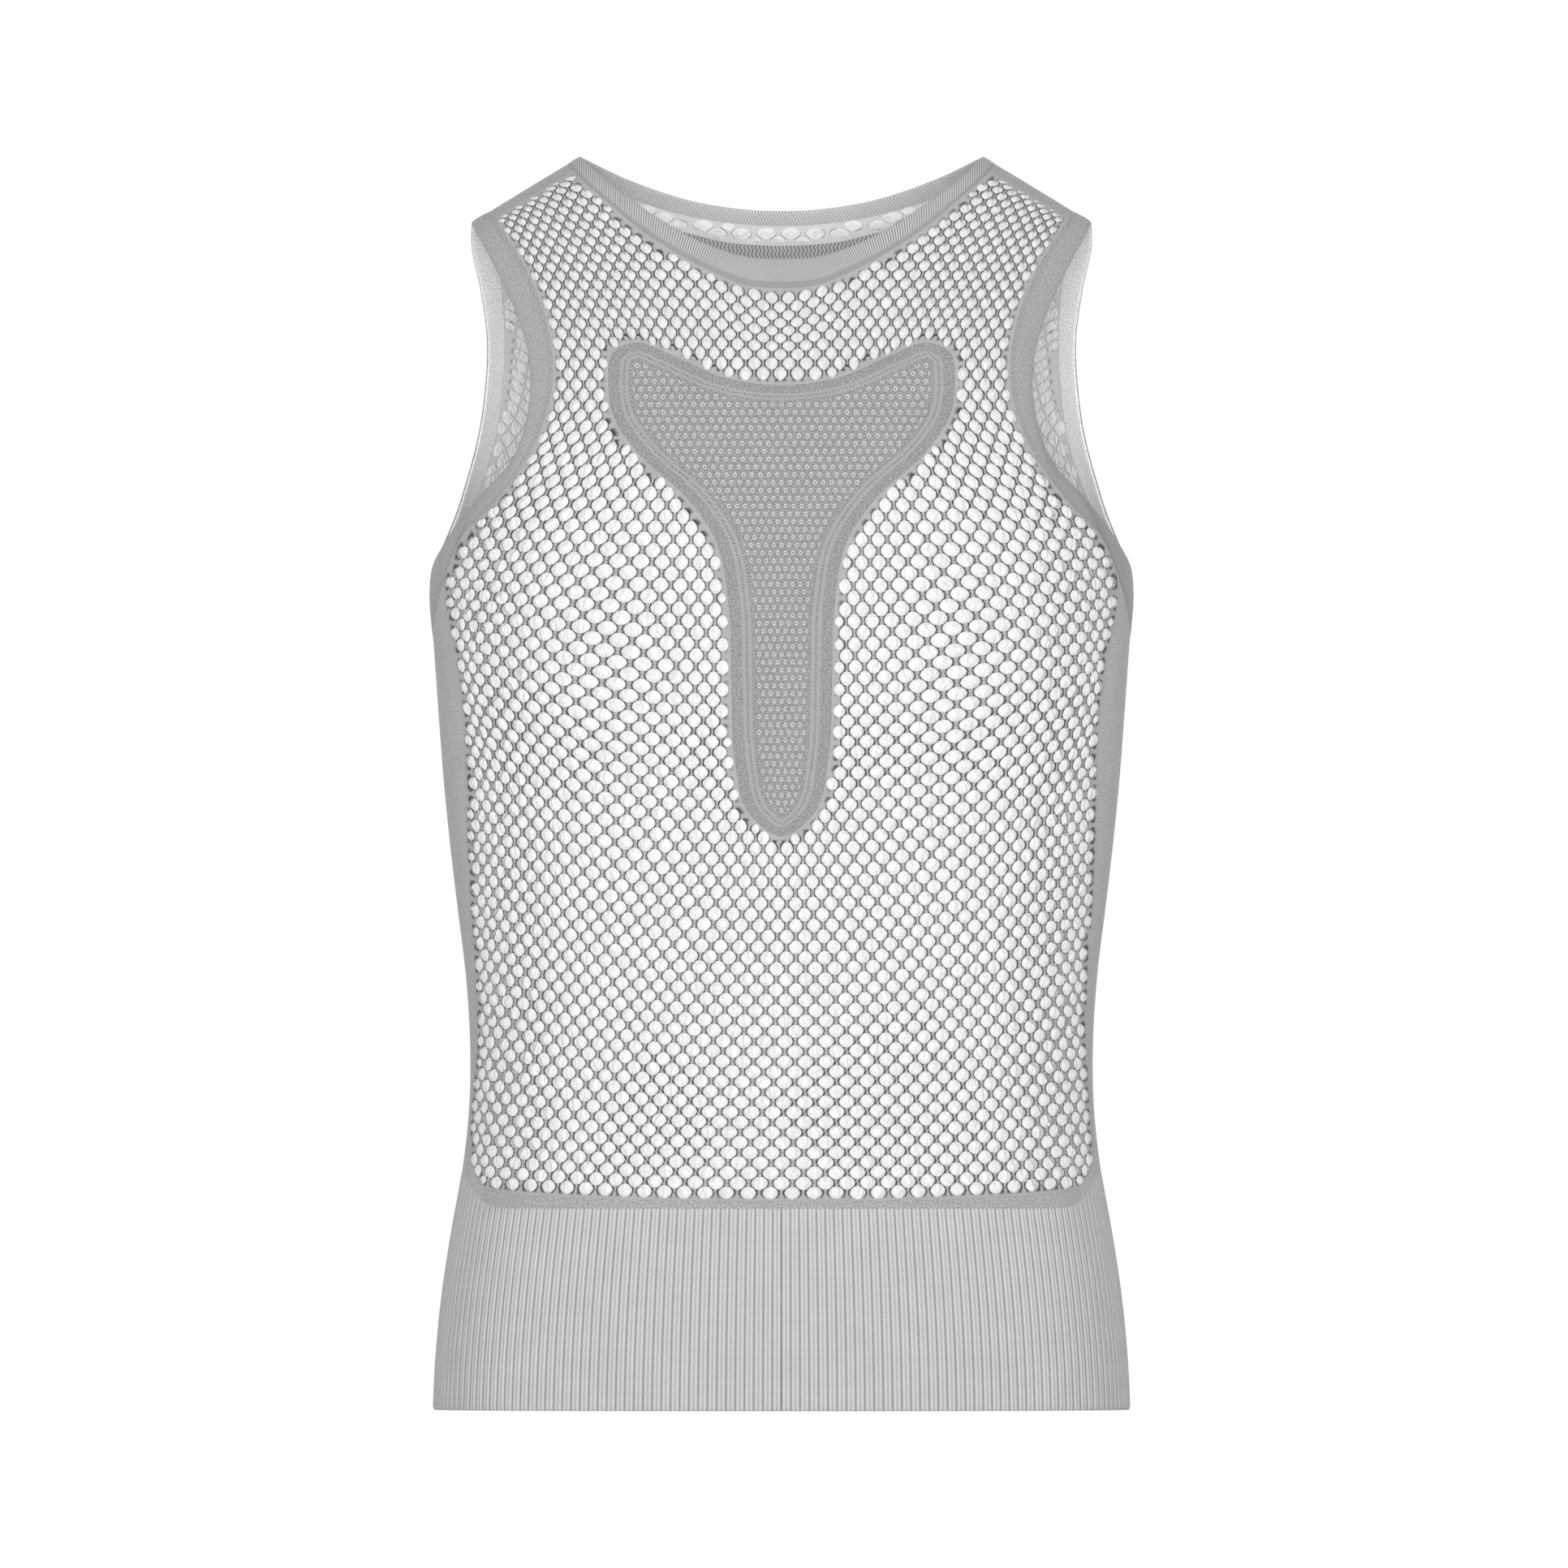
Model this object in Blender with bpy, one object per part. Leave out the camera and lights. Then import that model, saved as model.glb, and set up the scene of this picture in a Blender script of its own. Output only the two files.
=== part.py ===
"""Sleeveless cycling base layer in a light knit, filled out as when it is worn, with nobody in it.

Frame: metres, +Z up, the front faces -Y and the wearer's left is at +X. The origin is where the
shoulders carry the garment, on the centre plane at the height of the two neck points.

The whole garment lies on one surface. At each height it is a closed superellipse, and near the
shoulders its depth closes to nothing along the shoulder seams. A place on it is given by
"around", the angle from the centre front (90 degrees is the wearer's left side, 180 the centre
back), and "height". Every knitted piece is a closed wall between a grid of such places, moved
out along the surface's normal, and the same grid moved in.
"""

import math

import bmesh
import bpy
import numpy as np
from mathutils.geometry import delaunay_2d_cdt

MM = 0.001

# ---------------------------------------------------------------- driving dimensions (mm)
NECK_HALF_WIDTH = 105.6     # centre line to a neck point
SHOULDER_HALF_WIDTH = 163.3  # centre line to a shoulder tip
HEM_HEIGHT = -660.0         # bottom edge of the ribbed hem
UNDERARM_HEIGHT = -216.0    # lowest point of an armhole's open edge
BAND_FOOT_HEIGHT = -252.0   # lower edge of an arm band below the armhole
SEAM_GAP = 0.3              # between neighbouring pieces
NET_WALL = 1.2              # the net, and the dense knit zones set into it
PLAIN_WALL = 1.4            # side panels, shoulder strips and hem borders
BAND_WALL = 2.0             # neck and arm bands, knitted double
RIB_WALL = 1.7              # the hem, measured at a gutter
BAND_PROUD = 0.4            # how far a band stands out of the surface along its middle
RIBS = 192                  # all round the hem
RIB_HEIGHT = 0.7            # crest over gutter
RIB_ROWS = 5

SQUARENESS = 2.4            # exponent of the superellipse
FOLD = 110.0                # height below the shoulder line over which the depth opens fully
FOLD_ROUNDNESS = 2.6        # exponent of that opening, 2 for an ellipse
RIDGE_SLOPE = 0.65          # fall of the shoulder line
RIDGE_ROUNDING = 50.0       # keeps the shoulder line smooth across the neck
ON_RIDGE = 0.05             # a place this little under the shoulder line is on it

SECTION_COLUMNS = ("height", "half_width", "front_depth", "back_depth")
SECTIONS = (
    (0, 195, 62, 58),
    (-35, 192, 66, 64),
    (-60, 188, 73, 75),
    (-106, 182, 90, 92),
    (-150, 178.5, 103, 101),
    (-180, 179, 109, 103),
    (-200, 181.5, 111, 102.5),
    (-216, 184, 112, 102),
    (-232, 185, 112, 101),
    (-260, 183, 111, 98.5),
    (-294, 180.6, 109, 95),
    (-328, 178, 106, 91),
    (-362, 174.6, 102.5, 87.5),
    (-396, 170.6, 99, 84.5),
    (-430, 166.4, 96, 82),
    (-465, 164.1, 94, 81),
    (-499, 164.4, 94, 82.5),
    (-533, 168, 96, 86),
    (-567, 174, 98.5, 90),
    (-601, 179.1, 101, 94),
    (-636, 182.4, 103, 97.5),
    (-660, 183.5, 104, 99),
)

# Edges as they are seen from the front: mm from the centre line, mm of height. Rows run from
# the centre line outwards, or from the shoulder downwards.
EDGE_COLUMNS = ("across", "height")
FRONT_NECK_OPENING = (
    (0, -54), (18.4, -53), (40.2, -46), (54.3, -39), (73.5, -26.8), (95, -10.8),
)
FRONT_NECK_SEAM = (
    (0, -70), (18.4, -68.4), (33.8, -62.5), (56.9, -50.4), (74.8, -38.6), (91, -25), (103, -14.6),
)
BACK_NECK_OPENING = ((0, -28.2), (18.4, -27.4), (44, -23.6), (62, -18.6), (82.5, -11))
BACK_NECK_SEAM = (
    (0, -36.6), (18.4, -35.8), (44, -32.2), (62, -27.6), (84, -20.2), (100, -13.2),
)
FRONT_ARM_OPENING = (
    (156, -49), (141.5, -79), (133.2, -106), (133.4, -134), (142, -160), (158, -178),
    (171, -193.5), (180.3, -208),
)
FRONT_ARM_SEAM = (
    (133.8, -61), (122.5, -92), (120.6, -122), (128.4, -149), (141.9, -171.4), (156, -188),
    (168.5, -201),
)
BACK_ARM_OPENING = (
    (163.6, -48), (159, -70), (155.6, -95), (156, -115), (160, -146), (166.5, -171),
    (174.2, -194), (180.3, -208),
)
BACK_ARM_SEAM = (
    (150.5, -50), (148.6, -70), (147.2, -95), (148, -115), (151.5, -144), (157.5, -166),
    (168, -192),
)
ARM_FOOT = ((181.2, -236), (183.3, -246))  # lower edge of an arm band near the side, on both faces
NET_SIDE = (
    (175.8, -243), (171.6, -263), (168, -290), (166.2, -325), (165.4, -366), (163.2, -405),
    (160.7, -445), (160.5, -474), (163, -498), (164, -519), (162.6, -533),
)
NET_BOTTOM = ((0, -547), (60, -546.6), (110, -545.6), (144, -544.4))
ARM_CORNER = (151.3, 5.3)       # across, and how far under the shoulder line: arm band, strip and net meet
NECK_CORNER = (109.8, 5.2)      # the same for neck band, strip and net
ARM_RIDGE_ACROSS = 154.0        # where the arm band's seam crosses the shoulder line
NECK_RIDGE_ACROSS = 112.5       # where the neck band's seam crosses it
UNDERARM_CORNER = (177.2, -222)  # arm band, net and side panel meet
HEM_CORNER = (156.8, -542.6)    # net, side panel and hem border meet
BORDER_END = (158.6, -549.5)    # hem border, side panel and ribbed hem meet

# Dense knit zones set into the net: a rounded yoke that runs into a stem, as mm from the centre
# line and height, from the middle of the top edge round to the foot of the stem.
CHEST_ZONE = (
    (0, -121), (30, -117), (58, -105), (76, -98.5), (88, -103), (91, -118), (88, -138),
    (74, -158), (50, -180), (34, -204), (28, -235), (26.5, -275), (24.5, -318), (17, -346),
    (0, -358),
)
SPINE_ZONE = (
    (0, -46), (30, -44), (54, -38.5), (70, -37), (79, -46), (78, -64), (64, -92), (44, -126),
    (33, -170), (30, -230), (29, -300), (26, -352), (16, -378), (0, -388),
)

RIB_TOP = -554.5            # top of the ribs at the centre front and back
RIB_TOP_RISE = 20.0         # higher than that at the sides, where they run up to the waist
RIB_TOP_SIDE = math.radians(25)

WIDE = 0.13                 # metres of cloth per radian around, near enough to space a grid
PANEL_GRID = 0.021          # spacing of a panel's grid, metres
ZONE_GRID = 0.016           # the same in a dense zone
ROW_PITCH = 0.87            # rows of a staggered grid, as a share of its spacing
EDGE_CLEAR = 0.55           # spacings kept free of grid points along an edge
FINE_STEPS = 1200           # chords that stand for a smooth edge while it is measured
FINE_RING = 4000            # the same for the whole hem
ZONE_STEPS = 44             # chords round a dense zone
CROWN = 0.2                 # mm that a dense zone stands out of the net


# ---------------------------------------------------------------- the garment's surface
def smooth(knots, values, at):
    """Cubic curve through (knots, values): each knot's slope is the mean of its two chords'."""
    knots, values, at = (np.asarray(v, float) for v in (knots, values, at))
    chord = np.diff(values, axis=0) / np.diff(knots).reshape((-1,) + (1,) * (values.ndim - 1))
    slope = np.concatenate([chord[:1], (chord[1:] + chord[:-1]) / 2, chord[-1:]])
    i = np.clip(np.searchsorted(knots, at) - 1, 0, len(knots) - 2)
    step = (knots[i + 1] - knots[i]).reshape((-1,) + (1,) * (values.ndim - 1))
    t = (at.reshape(-1) - knots[i].reshape(-1)).reshape(step.shape) / step
    return (
        values[i] * (1 + 2 * t) * (1 - t) ** 2
        + values[i + 1] * (3 - 2 * t) * t ** 2
        + step * (slope[i] * t * (1 - t) ** 2 - slope[i + 1] * (1 - t) * t ** 2)
    )


def section(z):
    """Half width, front depth and back depth at the heights z, in metres."""
    table = np.array(SECTIONS[::-1], float) * MM
    return smooth(table[:, 0], table[:, 1:], np.clip(z, table[0, 0], table[-1, 0])).T


def ridge(x):
    """Height of the shoulder line over the places x across."""
    reach = np.hypot(x, RIDGE_ROUNDING * MM)
    return -RIDGE_SLOPE * (reach - math.hypot(NECK_HALF_WIDTH, RIDGE_ROUNDING) * MM)


def opening(x, z):
    """Share of the full depth that is open at (x, z): a rounded quarter turn below the ridge."""
    below = ridge(x) - z
    left = np.clip(1 - np.where(below < ON_RIDGE * MM, 0, below) / (FOLD * MM), 0, 1)
    return (1 - left ** FOLD_ROUNDNESS) ** (1 / FOLD_ROUNDNESS)


def surface(around, z):
    """Points of the garment's surface at the angles around and the heights z."""
    across, along = np.sin(around), np.cos(around)
    reach = (np.abs(across) ** SQUARENESS + np.abs(along) ** SQUARENESS) ** (-1 / SQUARENESS)
    width, front, back = section(z)
    x = width * across * reach
    y = -np.where(along > 0, front, back) * along * reach * opening(x, z)
    return np.stack([x, y, z], axis=1)


def level(p):
    """Zero on the surface and growing outwards; one form suits the ridge, one the sides."""
    x, y, z = p.T
    width, front, back = section(z)
    depth = np.where(y < 0, front, back)
    ratio = np.clip(np.abs(x) / width, 0, 2) ** SQUARENESS
    below = ridge(x) - z
    left = np.clip(1 - below / (FOLD * MM), 0, None)
    share = np.clip(1 - left ** FOLD_ROUNDNESS, 1e-9, None) ** (1 / FOLD_ROUNDNESS)
    by_side = ratio + (np.abs(y) / (depth * share)) ** SQUARENESS
    full = depth * np.clip(1 - ratio, 1e-3, None) ** (1 / SQUARENESS)
    by_ridge = (np.abs(y) / full) ** FOLD_ROUNDNESS + left ** FOLD_ROUNDNESS
    return by_side, by_ridge, below < 0.3 * FOLD * MM


def normals(points):
    """Unit outward normals at points of the surface, from differences of level()."""
    h = 2e-5
    near = level(points)[2]
    slopes = []
    for axis in np.eye(3) * h:
        ahead, behind = level(points + axis), level(points - axis)
        slopes.append(np.where(near, ahead[1] - behind[1], ahead[0] - behind[0]))
    out = np.stack(slopes, axis=1)
    return out / np.linalg.norm(out, axis=1, keepdims=True)


def around_of(x, z):
    """The angle around of the front point at x across and height z."""
    ratio = np.clip(np.abs(x) / section(z)[0], 0, 1)
    return np.sign(x) * np.arctan2(ratio, (1 - ratio ** SQUARENESS) ** (1 / SQUARENESS))


# ---------------------------------------------------------------- edges on the surface
def places(rows):
    """Rows of EDGE_COLUMNS as (around, height) places on the front."""
    x, z = np.array(rows, float).reshape(-1, 2).T * MM
    return np.stack([around_of(x, z), z], axis=1)


def on_ridge(across, below=0.0):
    """The row at x = across, so far under the shoulder line."""
    return (across, float(ridge(across * MM)) / MM - below)


def to_back(edge):
    """The same edge on the back."""
    return np.stack([math.pi - edge[:, 0], edge[:, 1]], axis=1)


def to_right(edge):
    """The mirror image on the wearer's right."""
    return edge * (-1, 1)


def trace(points, stops, steps):
    """Edge through the places: steps[i] chords of equal real length from row stops[i] to the next."""
    spread = points * (WIDE, 1)
    knots = np.concatenate([[0], np.cumsum(np.linalg.norm(np.diff(spread, axis=0), axis=1))])
    fine = np.unique(np.concatenate([np.linspace(0, knots[-1], FINE_STEPS), knots]))
    dense = smooth(knots, points, fine)
    solid = surface(dense[:, 0], dense[:, 1])
    run = np.concatenate([[0], np.cumsum(np.linalg.norm(np.diff(solid, axis=0), axis=1))])
    at = np.interp(knots[list(stops)], fine, run)
    wanted = [at[:1]] + [np.linspace(a, b, n + 1)[1:] for a, b, n in zip(at, at[1:], steps)]
    wanted = np.concatenate(wanted)
    return np.stack([np.interp(wanted, run, dense[:, k]) for k in (0, 1)], axis=1)


def both_sides(rows):
    """Places of rows that start on the centre line, with their mirror image put before them."""
    half = places(rows)
    return np.concatenate([to_right(half)[:0:-1], half])


NECK_STEPS = 26             # along a neck band between its two corners
NECK_END_STEPS = 2          # from such a corner to the shoulder line
ARM_END_STEPS = 2
ARM_STEPS = 15              # along the net, from the shoulder strip to the side panel
UNDERARM_STEPS = 5          # from there to the side
SIDE_STEPS = 16
BOTTOM_STEPS = 24
STRIP_STEPS = 5


def neck_edges(opening_rows, seam_rows):
    """Open edge and seam of a neck band, from the right neck point to the left one."""
    seam_rows = seam_rows + (on_ridge(*NECK_CORNER), on_ridge(NECK_RIDGE_ACROSS))
    seam = both_sides(seam_rows)
    last = len(seam) - 1
    steps = (NECK_END_STEPS, NECK_STEPS, NECK_END_STEPS)
    rim = both_sides(opening_rows + (on_ridge(NECK_HALF_WIDTH),))
    return trace(rim, (0, len(rim) - 1), (sum(steps),)), trace(seam, (0, 1, last - 1, last), steps)


def arm_edges():
    """Open edge and seam of the left arm band, from the front shoulder line to the back one."""
    tip, crossing = on_ridge(SHOULDER_HALF_WIDTH), on_ridge(ARM_RIDGE_ACROSS)
    corner = on_ridge(*ARM_CORNER)
    side = [[math.pi / 2, UNDERARM_HEIGHT * MM]]
    foot = [[math.pi / 2, BAND_FOOT_HEIGHT * MM]]
    front, back = places((tip,) + FRONT_ARM_OPENING), places((tip,) + BACK_ARM_OPENING)
    rim = np.concatenate([front, side, to_back(back)[::-1]])
    front = places((crossing, corner) + FRONT_ARM_SEAM + (UNDERARM_CORNER,) + ARM_FOOT)
    back = places((crossing, corner) + BACK_ARM_SEAM + (UNDERARM_CORNER,) + ARM_FOOT)
    seam = np.concatenate([front, foot, to_back(back)[::-1]])
    half = (ARM_END_STEPS, ARM_STEPS, UNDERARM_STEPS)
    turn, last, below = len(front), len(seam) - 1, len(ARM_FOOT) + 1
    stops = (0, 1, turn - below, turn, turn + below, last - 1, last)
    rim_turn = len(FRONT_ARM_OPENING) + 1
    return (
        trace(rim, (0, rim_turn, len(rim) - 1), (sum(half),) * 2),
        trace(seam, stops, half + half[::-1]),
    )


def side_edge():
    """Seam of net and side panel on the left front, from the underarm corner to the hem corner."""
    rows = places((UNDERARM_CORNER,) + NET_SIDE + (HEM_CORNER,))
    return trace(rows, (0, len(rows) - 1), (SIDE_STEPS,))


def bottom_edge():
    """Seam of net and hem border, from the right hem corner to the left one."""
    rows = both_sides(NET_BOTTOM + (HEM_CORNER,))
    return trace(rows, (0, len(rows) - 1), (BOTTOM_STEPS,))


def strip_edge():
    """Seam of net and shoulder strip on the left front, from the neck corner to the arm corner."""
    across = np.linspace(NECK_CORNER[0], ARM_CORNER[0], 5)
    below = np.linspace(NECK_CORNER[1], ARM_CORNER[1], 5)
    return trace(places([on_ridge(x, d) for x, d in zip(across, below)]), (0, 4), (STRIP_STEPS,))


def ridge_edge():
    """The shoulder line between the two bands, on the left front."""
    across = np.linspace(NECK_RIDGE_ACROSS, ARM_RIDGE_ACROSS, STRIP_STEPS + 1)
    return places([on_ridge(x) for x in across])


def rib_top(around):
    """Height of the top of the ribs: level, with a rise at each side."""
    from_side = np.abs((around % math.pi) - math.pi / 2)
    return (RIB_TOP + RIB_TOP_RISE * np.exp(-((from_side / RIB_TOP_SIDE) ** 4))) * MM


def rib_angles(steps):
    """Angles around that cut the hem into equal steps, starting at the centre front."""
    fine = np.linspace(0, 2 * math.pi, FINE_RING + 1)
    ring = surface(fine, np.full(fine.shape, (RIB_TOP + HEM_HEIGHT) / 2 * MM))
    run = np.concatenate([[0], np.cumsum(np.linalg.norm(np.diff(ring, axis=0), axis=1))])
    return np.interp(np.arange(steps) / steps * run[-1], run, fine)


HEM_KNOTS = 96              # corners of the seam over the ribs
NEAR_KNOT = 0.02            # radians from a seam's end within which such a corner is left out


def hem_seam(start, end):
    """Seam over the ribs from the angle start to the angle end, both included."""
    knots = rib_angles(HEM_KNOTS)
    knots = np.concatenate([knots - 2 * math.pi, knots, knots + 2 * math.pi])
    inside = knots[(knots > start + NEAR_KNOT) & (knots < end - NEAR_KNOT)]
    around = np.concatenate([[start], inside, [end]])
    return np.stack([around, rib_top(around)], axis=1)


# ---------------------------------------------------------------- walls
def add_object(name, vertices, faces, material):
    mesh = bpy.data.meshes.new(name)
    mesh.from_pydata([tuple(v) for v in vertices], [], [tuple(int(i) for i in f) for f in faces])
    build = bmesh.new()
    build.from_mesh(mesh)
    bmesh.ops.triangulate(build, faces=build.faces[:])
    build.to_mesh(mesh)
    build.free()
    mesh.materials.append(material)
    mesh.shade_smooth()
    mesh.set_sharp_from_angle(angle=math.radians(40))
    piece = bpy.data.objects.new(name, mesh)
    bpy.context.scene.collection.objects.link(piece)
    return piece


def inset(points, out, loop):
    """Moves the loop's points half a seam gap into the piece, which lies to the loop's left."""
    here = points[loop]
    ahead = np.roll(here, -1, axis=0) - here
    ahead /= np.linalg.norm(ahead, axis=1, keepdims=True)
    inward = np.cross(out[loop], ahead)
    inward /= np.linalg.norm(inward, axis=1, keepdims=True)
    before = np.roll(inward, 1, axis=0)
    mitre = (inward + before) / np.clip(1 + (inward * before).sum(axis=1, keepdims=True), 0.5, None)
    points[loop] += mitre * SEAM_GAP / 2 * MM


def wall(name, grid, faces, loops, thickness, proud, material):
    """Closed wall: the faces of grid moved out by proud, and in by thickness from the surface."""
    base = surface(grid[:, 0], grid[:, 1])
    out = normals(base)
    for loop in loops:
        inset(base, out, loop)
    proud = np.broadcast_to(proud, len(grid))[:, None] * MM
    outer, inner = base + out * proud, base - out * thickness * MM
    count = len(grid)
    skin = [tuple(f) for f in faces] + [tuple(i + count for i in reversed(f)) for f in faces]
    rims = [(b, a, a + count, b + count) for loop in loops for a, b in zip(loop, np.roll(loop, -1))]
    return add_object(name, np.concatenate([outer, inner]), skin + rims, material)


def inside(points, loop):
    """Which points lie inside the closed loop, by crossings of a ray to the right."""
    x, y = points.T[:, :, None]
    (x0, y0), (x1, y1) = loop.T, np.roll(loop, -1, axis=0).T
    crosses = (y0 > y) != (y1 > y)
    with np.errstate(divide="ignore", invalid="ignore"):
        at = x0 + (y - y0) / (y1 - y0) * (x1 - x0)
    return (crosses & (x < at)).sum(axis=1) % 2 == 1


def distance(points, loop):
    """Distance of each point from the loop's chords."""
    start, chord = loop, np.roll(loop, -1, axis=0) - loop
    share = ((points[:, None] - start) * chord).sum(axis=2) / (chord ** 2).sum(axis=1)
    nearest = start + np.clip(share, 0, 1)[..., None] * chord
    return np.linalg.norm(points[:, None] - nearest, axis=2).min(axis=1)


def panel(name, loop, material, spacing, hole=None, thickness=NET_WALL, proud=0.0):
    """Wall over the region inside loop and outside hole, on a staggered grid of triangles."""
    loops = [loop] + ([hole] if hole is not None else [])
    flat = [edge * (WIDE, 1) for edge in loops]
    low, high = flat[0].min(axis=0), flat[0].max(axis=0)
    rows = np.arange(low[1], high[1], spacing * ROW_PITCH)
    grid = [
        (x + (i % 2) * spacing / 2, y)
        for i, y in enumerate(rows)
        for x in np.arange((low[0] + high[0]) / 2 % spacing + low[0] - spacing, high[0], spacing)
    ]
    grid = np.array(grid)
    keep = inside(grid, flat[0]) & (distance(grid, flat[0]) > EDGE_CLEAR * spacing)
    if hole is not None:
        keep &= ~inside(grid, flat[1]) & (distance(grid, flat[1]) > EDGE_CLEAR * spacing)
    points = np.concatenate(flat + [grid[keep]])
    edges, at = [], 0
    for edge in flat:
        ring = np.arange(at, at + len(edge))
        edges.append(ring)
        at += len(edge)
    chords = [(int(a), int(b)) for ring in edges for a, b in zip(ring, np.roll(ring, -1))]
    result = delaunay_2d_cdt([tuple(p) for p in points], chords, [], 1, 1e-9)
    made = np.array([tuple(v) for v in result[0]])
    middle = np.array([made[list(f)].mean(axis=0) for f in result[2]])
    good = inside(middle, flat[0])
    if hole is not None:
        good &= ~inside(middle, flat[1])
    faces = [f for f, ok in zip(result[2], good) if ok]
    if hole is not None:
        edges[1] = edges[1][::-1]
    return wall(name, made / (WIDE, 1), faces, edges, thickness, proud, material)


def strip(name, lower, upper, material, thickness, proud, across=3, crowding=1):
    """Wall between two edges of equally many points, which run the same way, lower below upper.

    A crowding of 2 sets the rows ever closer in height towards upper, as the ridge needs.
    """
    share = 1 - (1 - np.linspace(0, 1, across)[:, None, None]) ** crowding
    grid = (lower * (1 - share) + upper * share).reshape(-1, 2)
    length = len(lower)
    index = np.arange(across * length).reshape(across, length)
    faces = np.stack([index[:-1, :-1], index[:-1, 1:], index[1:, 1:], index[1:, :-1]], axis=-1)
    loop = np.concatenate([index[0], index[1:, -1], index[-1, -2::-1], index[-2:0:-1, 0]])
    crown = np.sin(np.linspace(0, math.pi, across))[:, None] * np.ones(length) * proud
    return wall(name, grid, faces.reshape(-1, 4), [loop], thickness, crown.reshape(-1), material)


def joined(*edges):
    """One closed loop of edges that follow each other, without their doubled corners."""
    return np.concatenate([edge[:-1] for edge in edges])


def zone_loop(rows, back=False):
    """Closed outline of a dense zone, drawn round its mirror axis."""
    half = places(rows)
    whole = np.concatenate([half, to_right(half)[-2:0:-1], half[:1]])
    ahead, behind = whole[1:3], whole[-3:-1]
    outline = trace(np.concatenate([behind, whole, ahead]), (2, len(whole) + 1), (ZONE_STEPS,))[:-1]
    return to_back(outline) if back else outline[::-1]


# ---------------------------------------------------------------- materials
def knit(name, colour, roughness):
    material = bpy.data.materials.new(name)
    material.use_nodes = True
    shader = material.node_tree.nodes["Principled BSDF"]
    shader.inputs["Base Color"].default_value = (*colour, 1)
    shader.inputs["Roughness"].default_value = roughness
    shader.inputs["Metallic"].default_value = 0.0
    return material


def build():
    for old in list(bpy.data.objects):
        bpy.data.objects.remove(old, do_unlink=True)
    net = knit("open_net", (0.58, 0.58, 0.58), 0.85)
    dense = knit("dense_knit", (0.37, 0.37, 0.37), 0.8)
    plain = knit("plain_knit", (0.42, 0.42, 0.42), 0.8)
    band = knit("ribbed_band", (0.43, 0.43, 0.43), 0.75)
    rib = knit("ribbed_hem", (0.55, 0.55, 0.55), 0.8)

    arm_rim, arm_seam = arm_edges()
    side, bottom, strip_seam, ridge_line = side_edge(), bottom_edge(), strip_edge(), ridge_edge()
    corner = ARM_END_STEPS
    underarm = corner + ARM_STEPS
    middle = underarm + UNDERARM_STEPS
    arm_front = arm_seam[corner:underarm + 1]
    arm_back = to_back(arm_seam[::-1])[corner:underarm + 1]

    # The net panels and the dense zones in them. A loop runs with the piece on its left.
    for face, openings, arm, zone_rows in (
        ("front", (FRONT_NECK_OPENING, FRONT_NECK_SEAM), arm_front, CHEST_ZONE),
        ("back", (BACK_NECK_OPENING, BACK_NECK_SEAM), arm_back, SPINE_ZONE),
    ):
        neck_rim, neck_seam = neck_edges(*openings)
        neck = neck_seam[NECK_END_STEPS:-NECK_END_STEPS]
        loop = joined(
            bottom, side[::-1], arm[::-1], strip_seam[::-1], neck[::-1],
            to_right(strip_seam), to_right(arm), to_right(side),
        )
        is_back = face == "back"
        if is_back:
            loop = to_back(loop)[::-1]
        zone = zone_loop(zone_rows, is_back)
        panel(f"{face}_net", loop, net, PANEL_GRID, hole=zone)
        panel("spine_zone" if is_back else "chest_zone", zone, dense, ZONE_GRID, proud=CROWN)
        lower, upper = neck_seam, neck_rim
        if is_back:
            lower, upper = to_back(lower)[::-1], to_back(upper)[::-1]
        strip(f"neck_band_{face}", lower, upper, band, BAND_WALL, BAND_PROUD)

    # What the two sides share, made for the wearer's left and mirrored for the right.
    front_end = places([BORDER_END])[0, 0]
    for side_name, mirrored in (("left", False), ("right", True)):
        def laid(edge):
            return to_right(edge)[::-1] if mirrored else edge

        def put(name, lower, upper, *sizes, **rows):
            """A strip between edges that run with the angle around, turned over on the right."""
            strip(name, laid(lower), laid(upper), *sizes, **rows)

        put(f"arm_band_{side_name}_front", arm_seam[:middle + 1], arm_rim[:middle + 1],
            band, BAND_WALL, BAND_PROUD)
        put(f"arm_band_{side_name}_back", arm_seam[middle:], arm_rim[middle:],
            band, BAND_WALL, BAND_PROUD)
        ridge_rows = {"across": 4, "crowding": 2}
        put(f"shoulder_strip_{side_name}_front", strip_seam, ridge_line,
            plain, PLAIN_WALL, 0.0, **ridge_rows)
        put(f"shoulder_strip_{side_name}_back", to_back(strip_seam)[::-1], to_back(ridge_line)[::-1],
            plain, PLAIN_WALL, 0.0, **ridge_rows)
        foot = hem_seam(front_end, math.pi - front_end)
        loop = joined(
            foot,
            np.array([foot[-1], to_back(side)[-1]]),
            to_back(side)[::-1],
            arm_seam[underarm:len(arm_seam) - underarm][::-1],
            side,
            np.array([side[-1], foot[0]]),
        )
        panel(f"side_panel_{side_name}", to_right(loop)[::-1] if mirrored else loop, plain,
              PANEL_GRID, thickness=PLAIN_WALL)

    # The plain border between net and ribs, front and back.
    for face, turn in (("front", 0.0), ("back", math.pi)):
        seam = hem_seam(turn - front_end, turn + front_end)
        top = bottom if turn == 0 else to_back(bottom)[::-1]
        loop = joined(seam, np.array([seam[-1], top[-1]]), top[::-1], np.array([top[0], seam[0]]))
        panel(f"hem_border_{face}", loop, plain, PANEL_GRID, thickness=PLAIN_WALL)

    ribbed_hem(rib)


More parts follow.
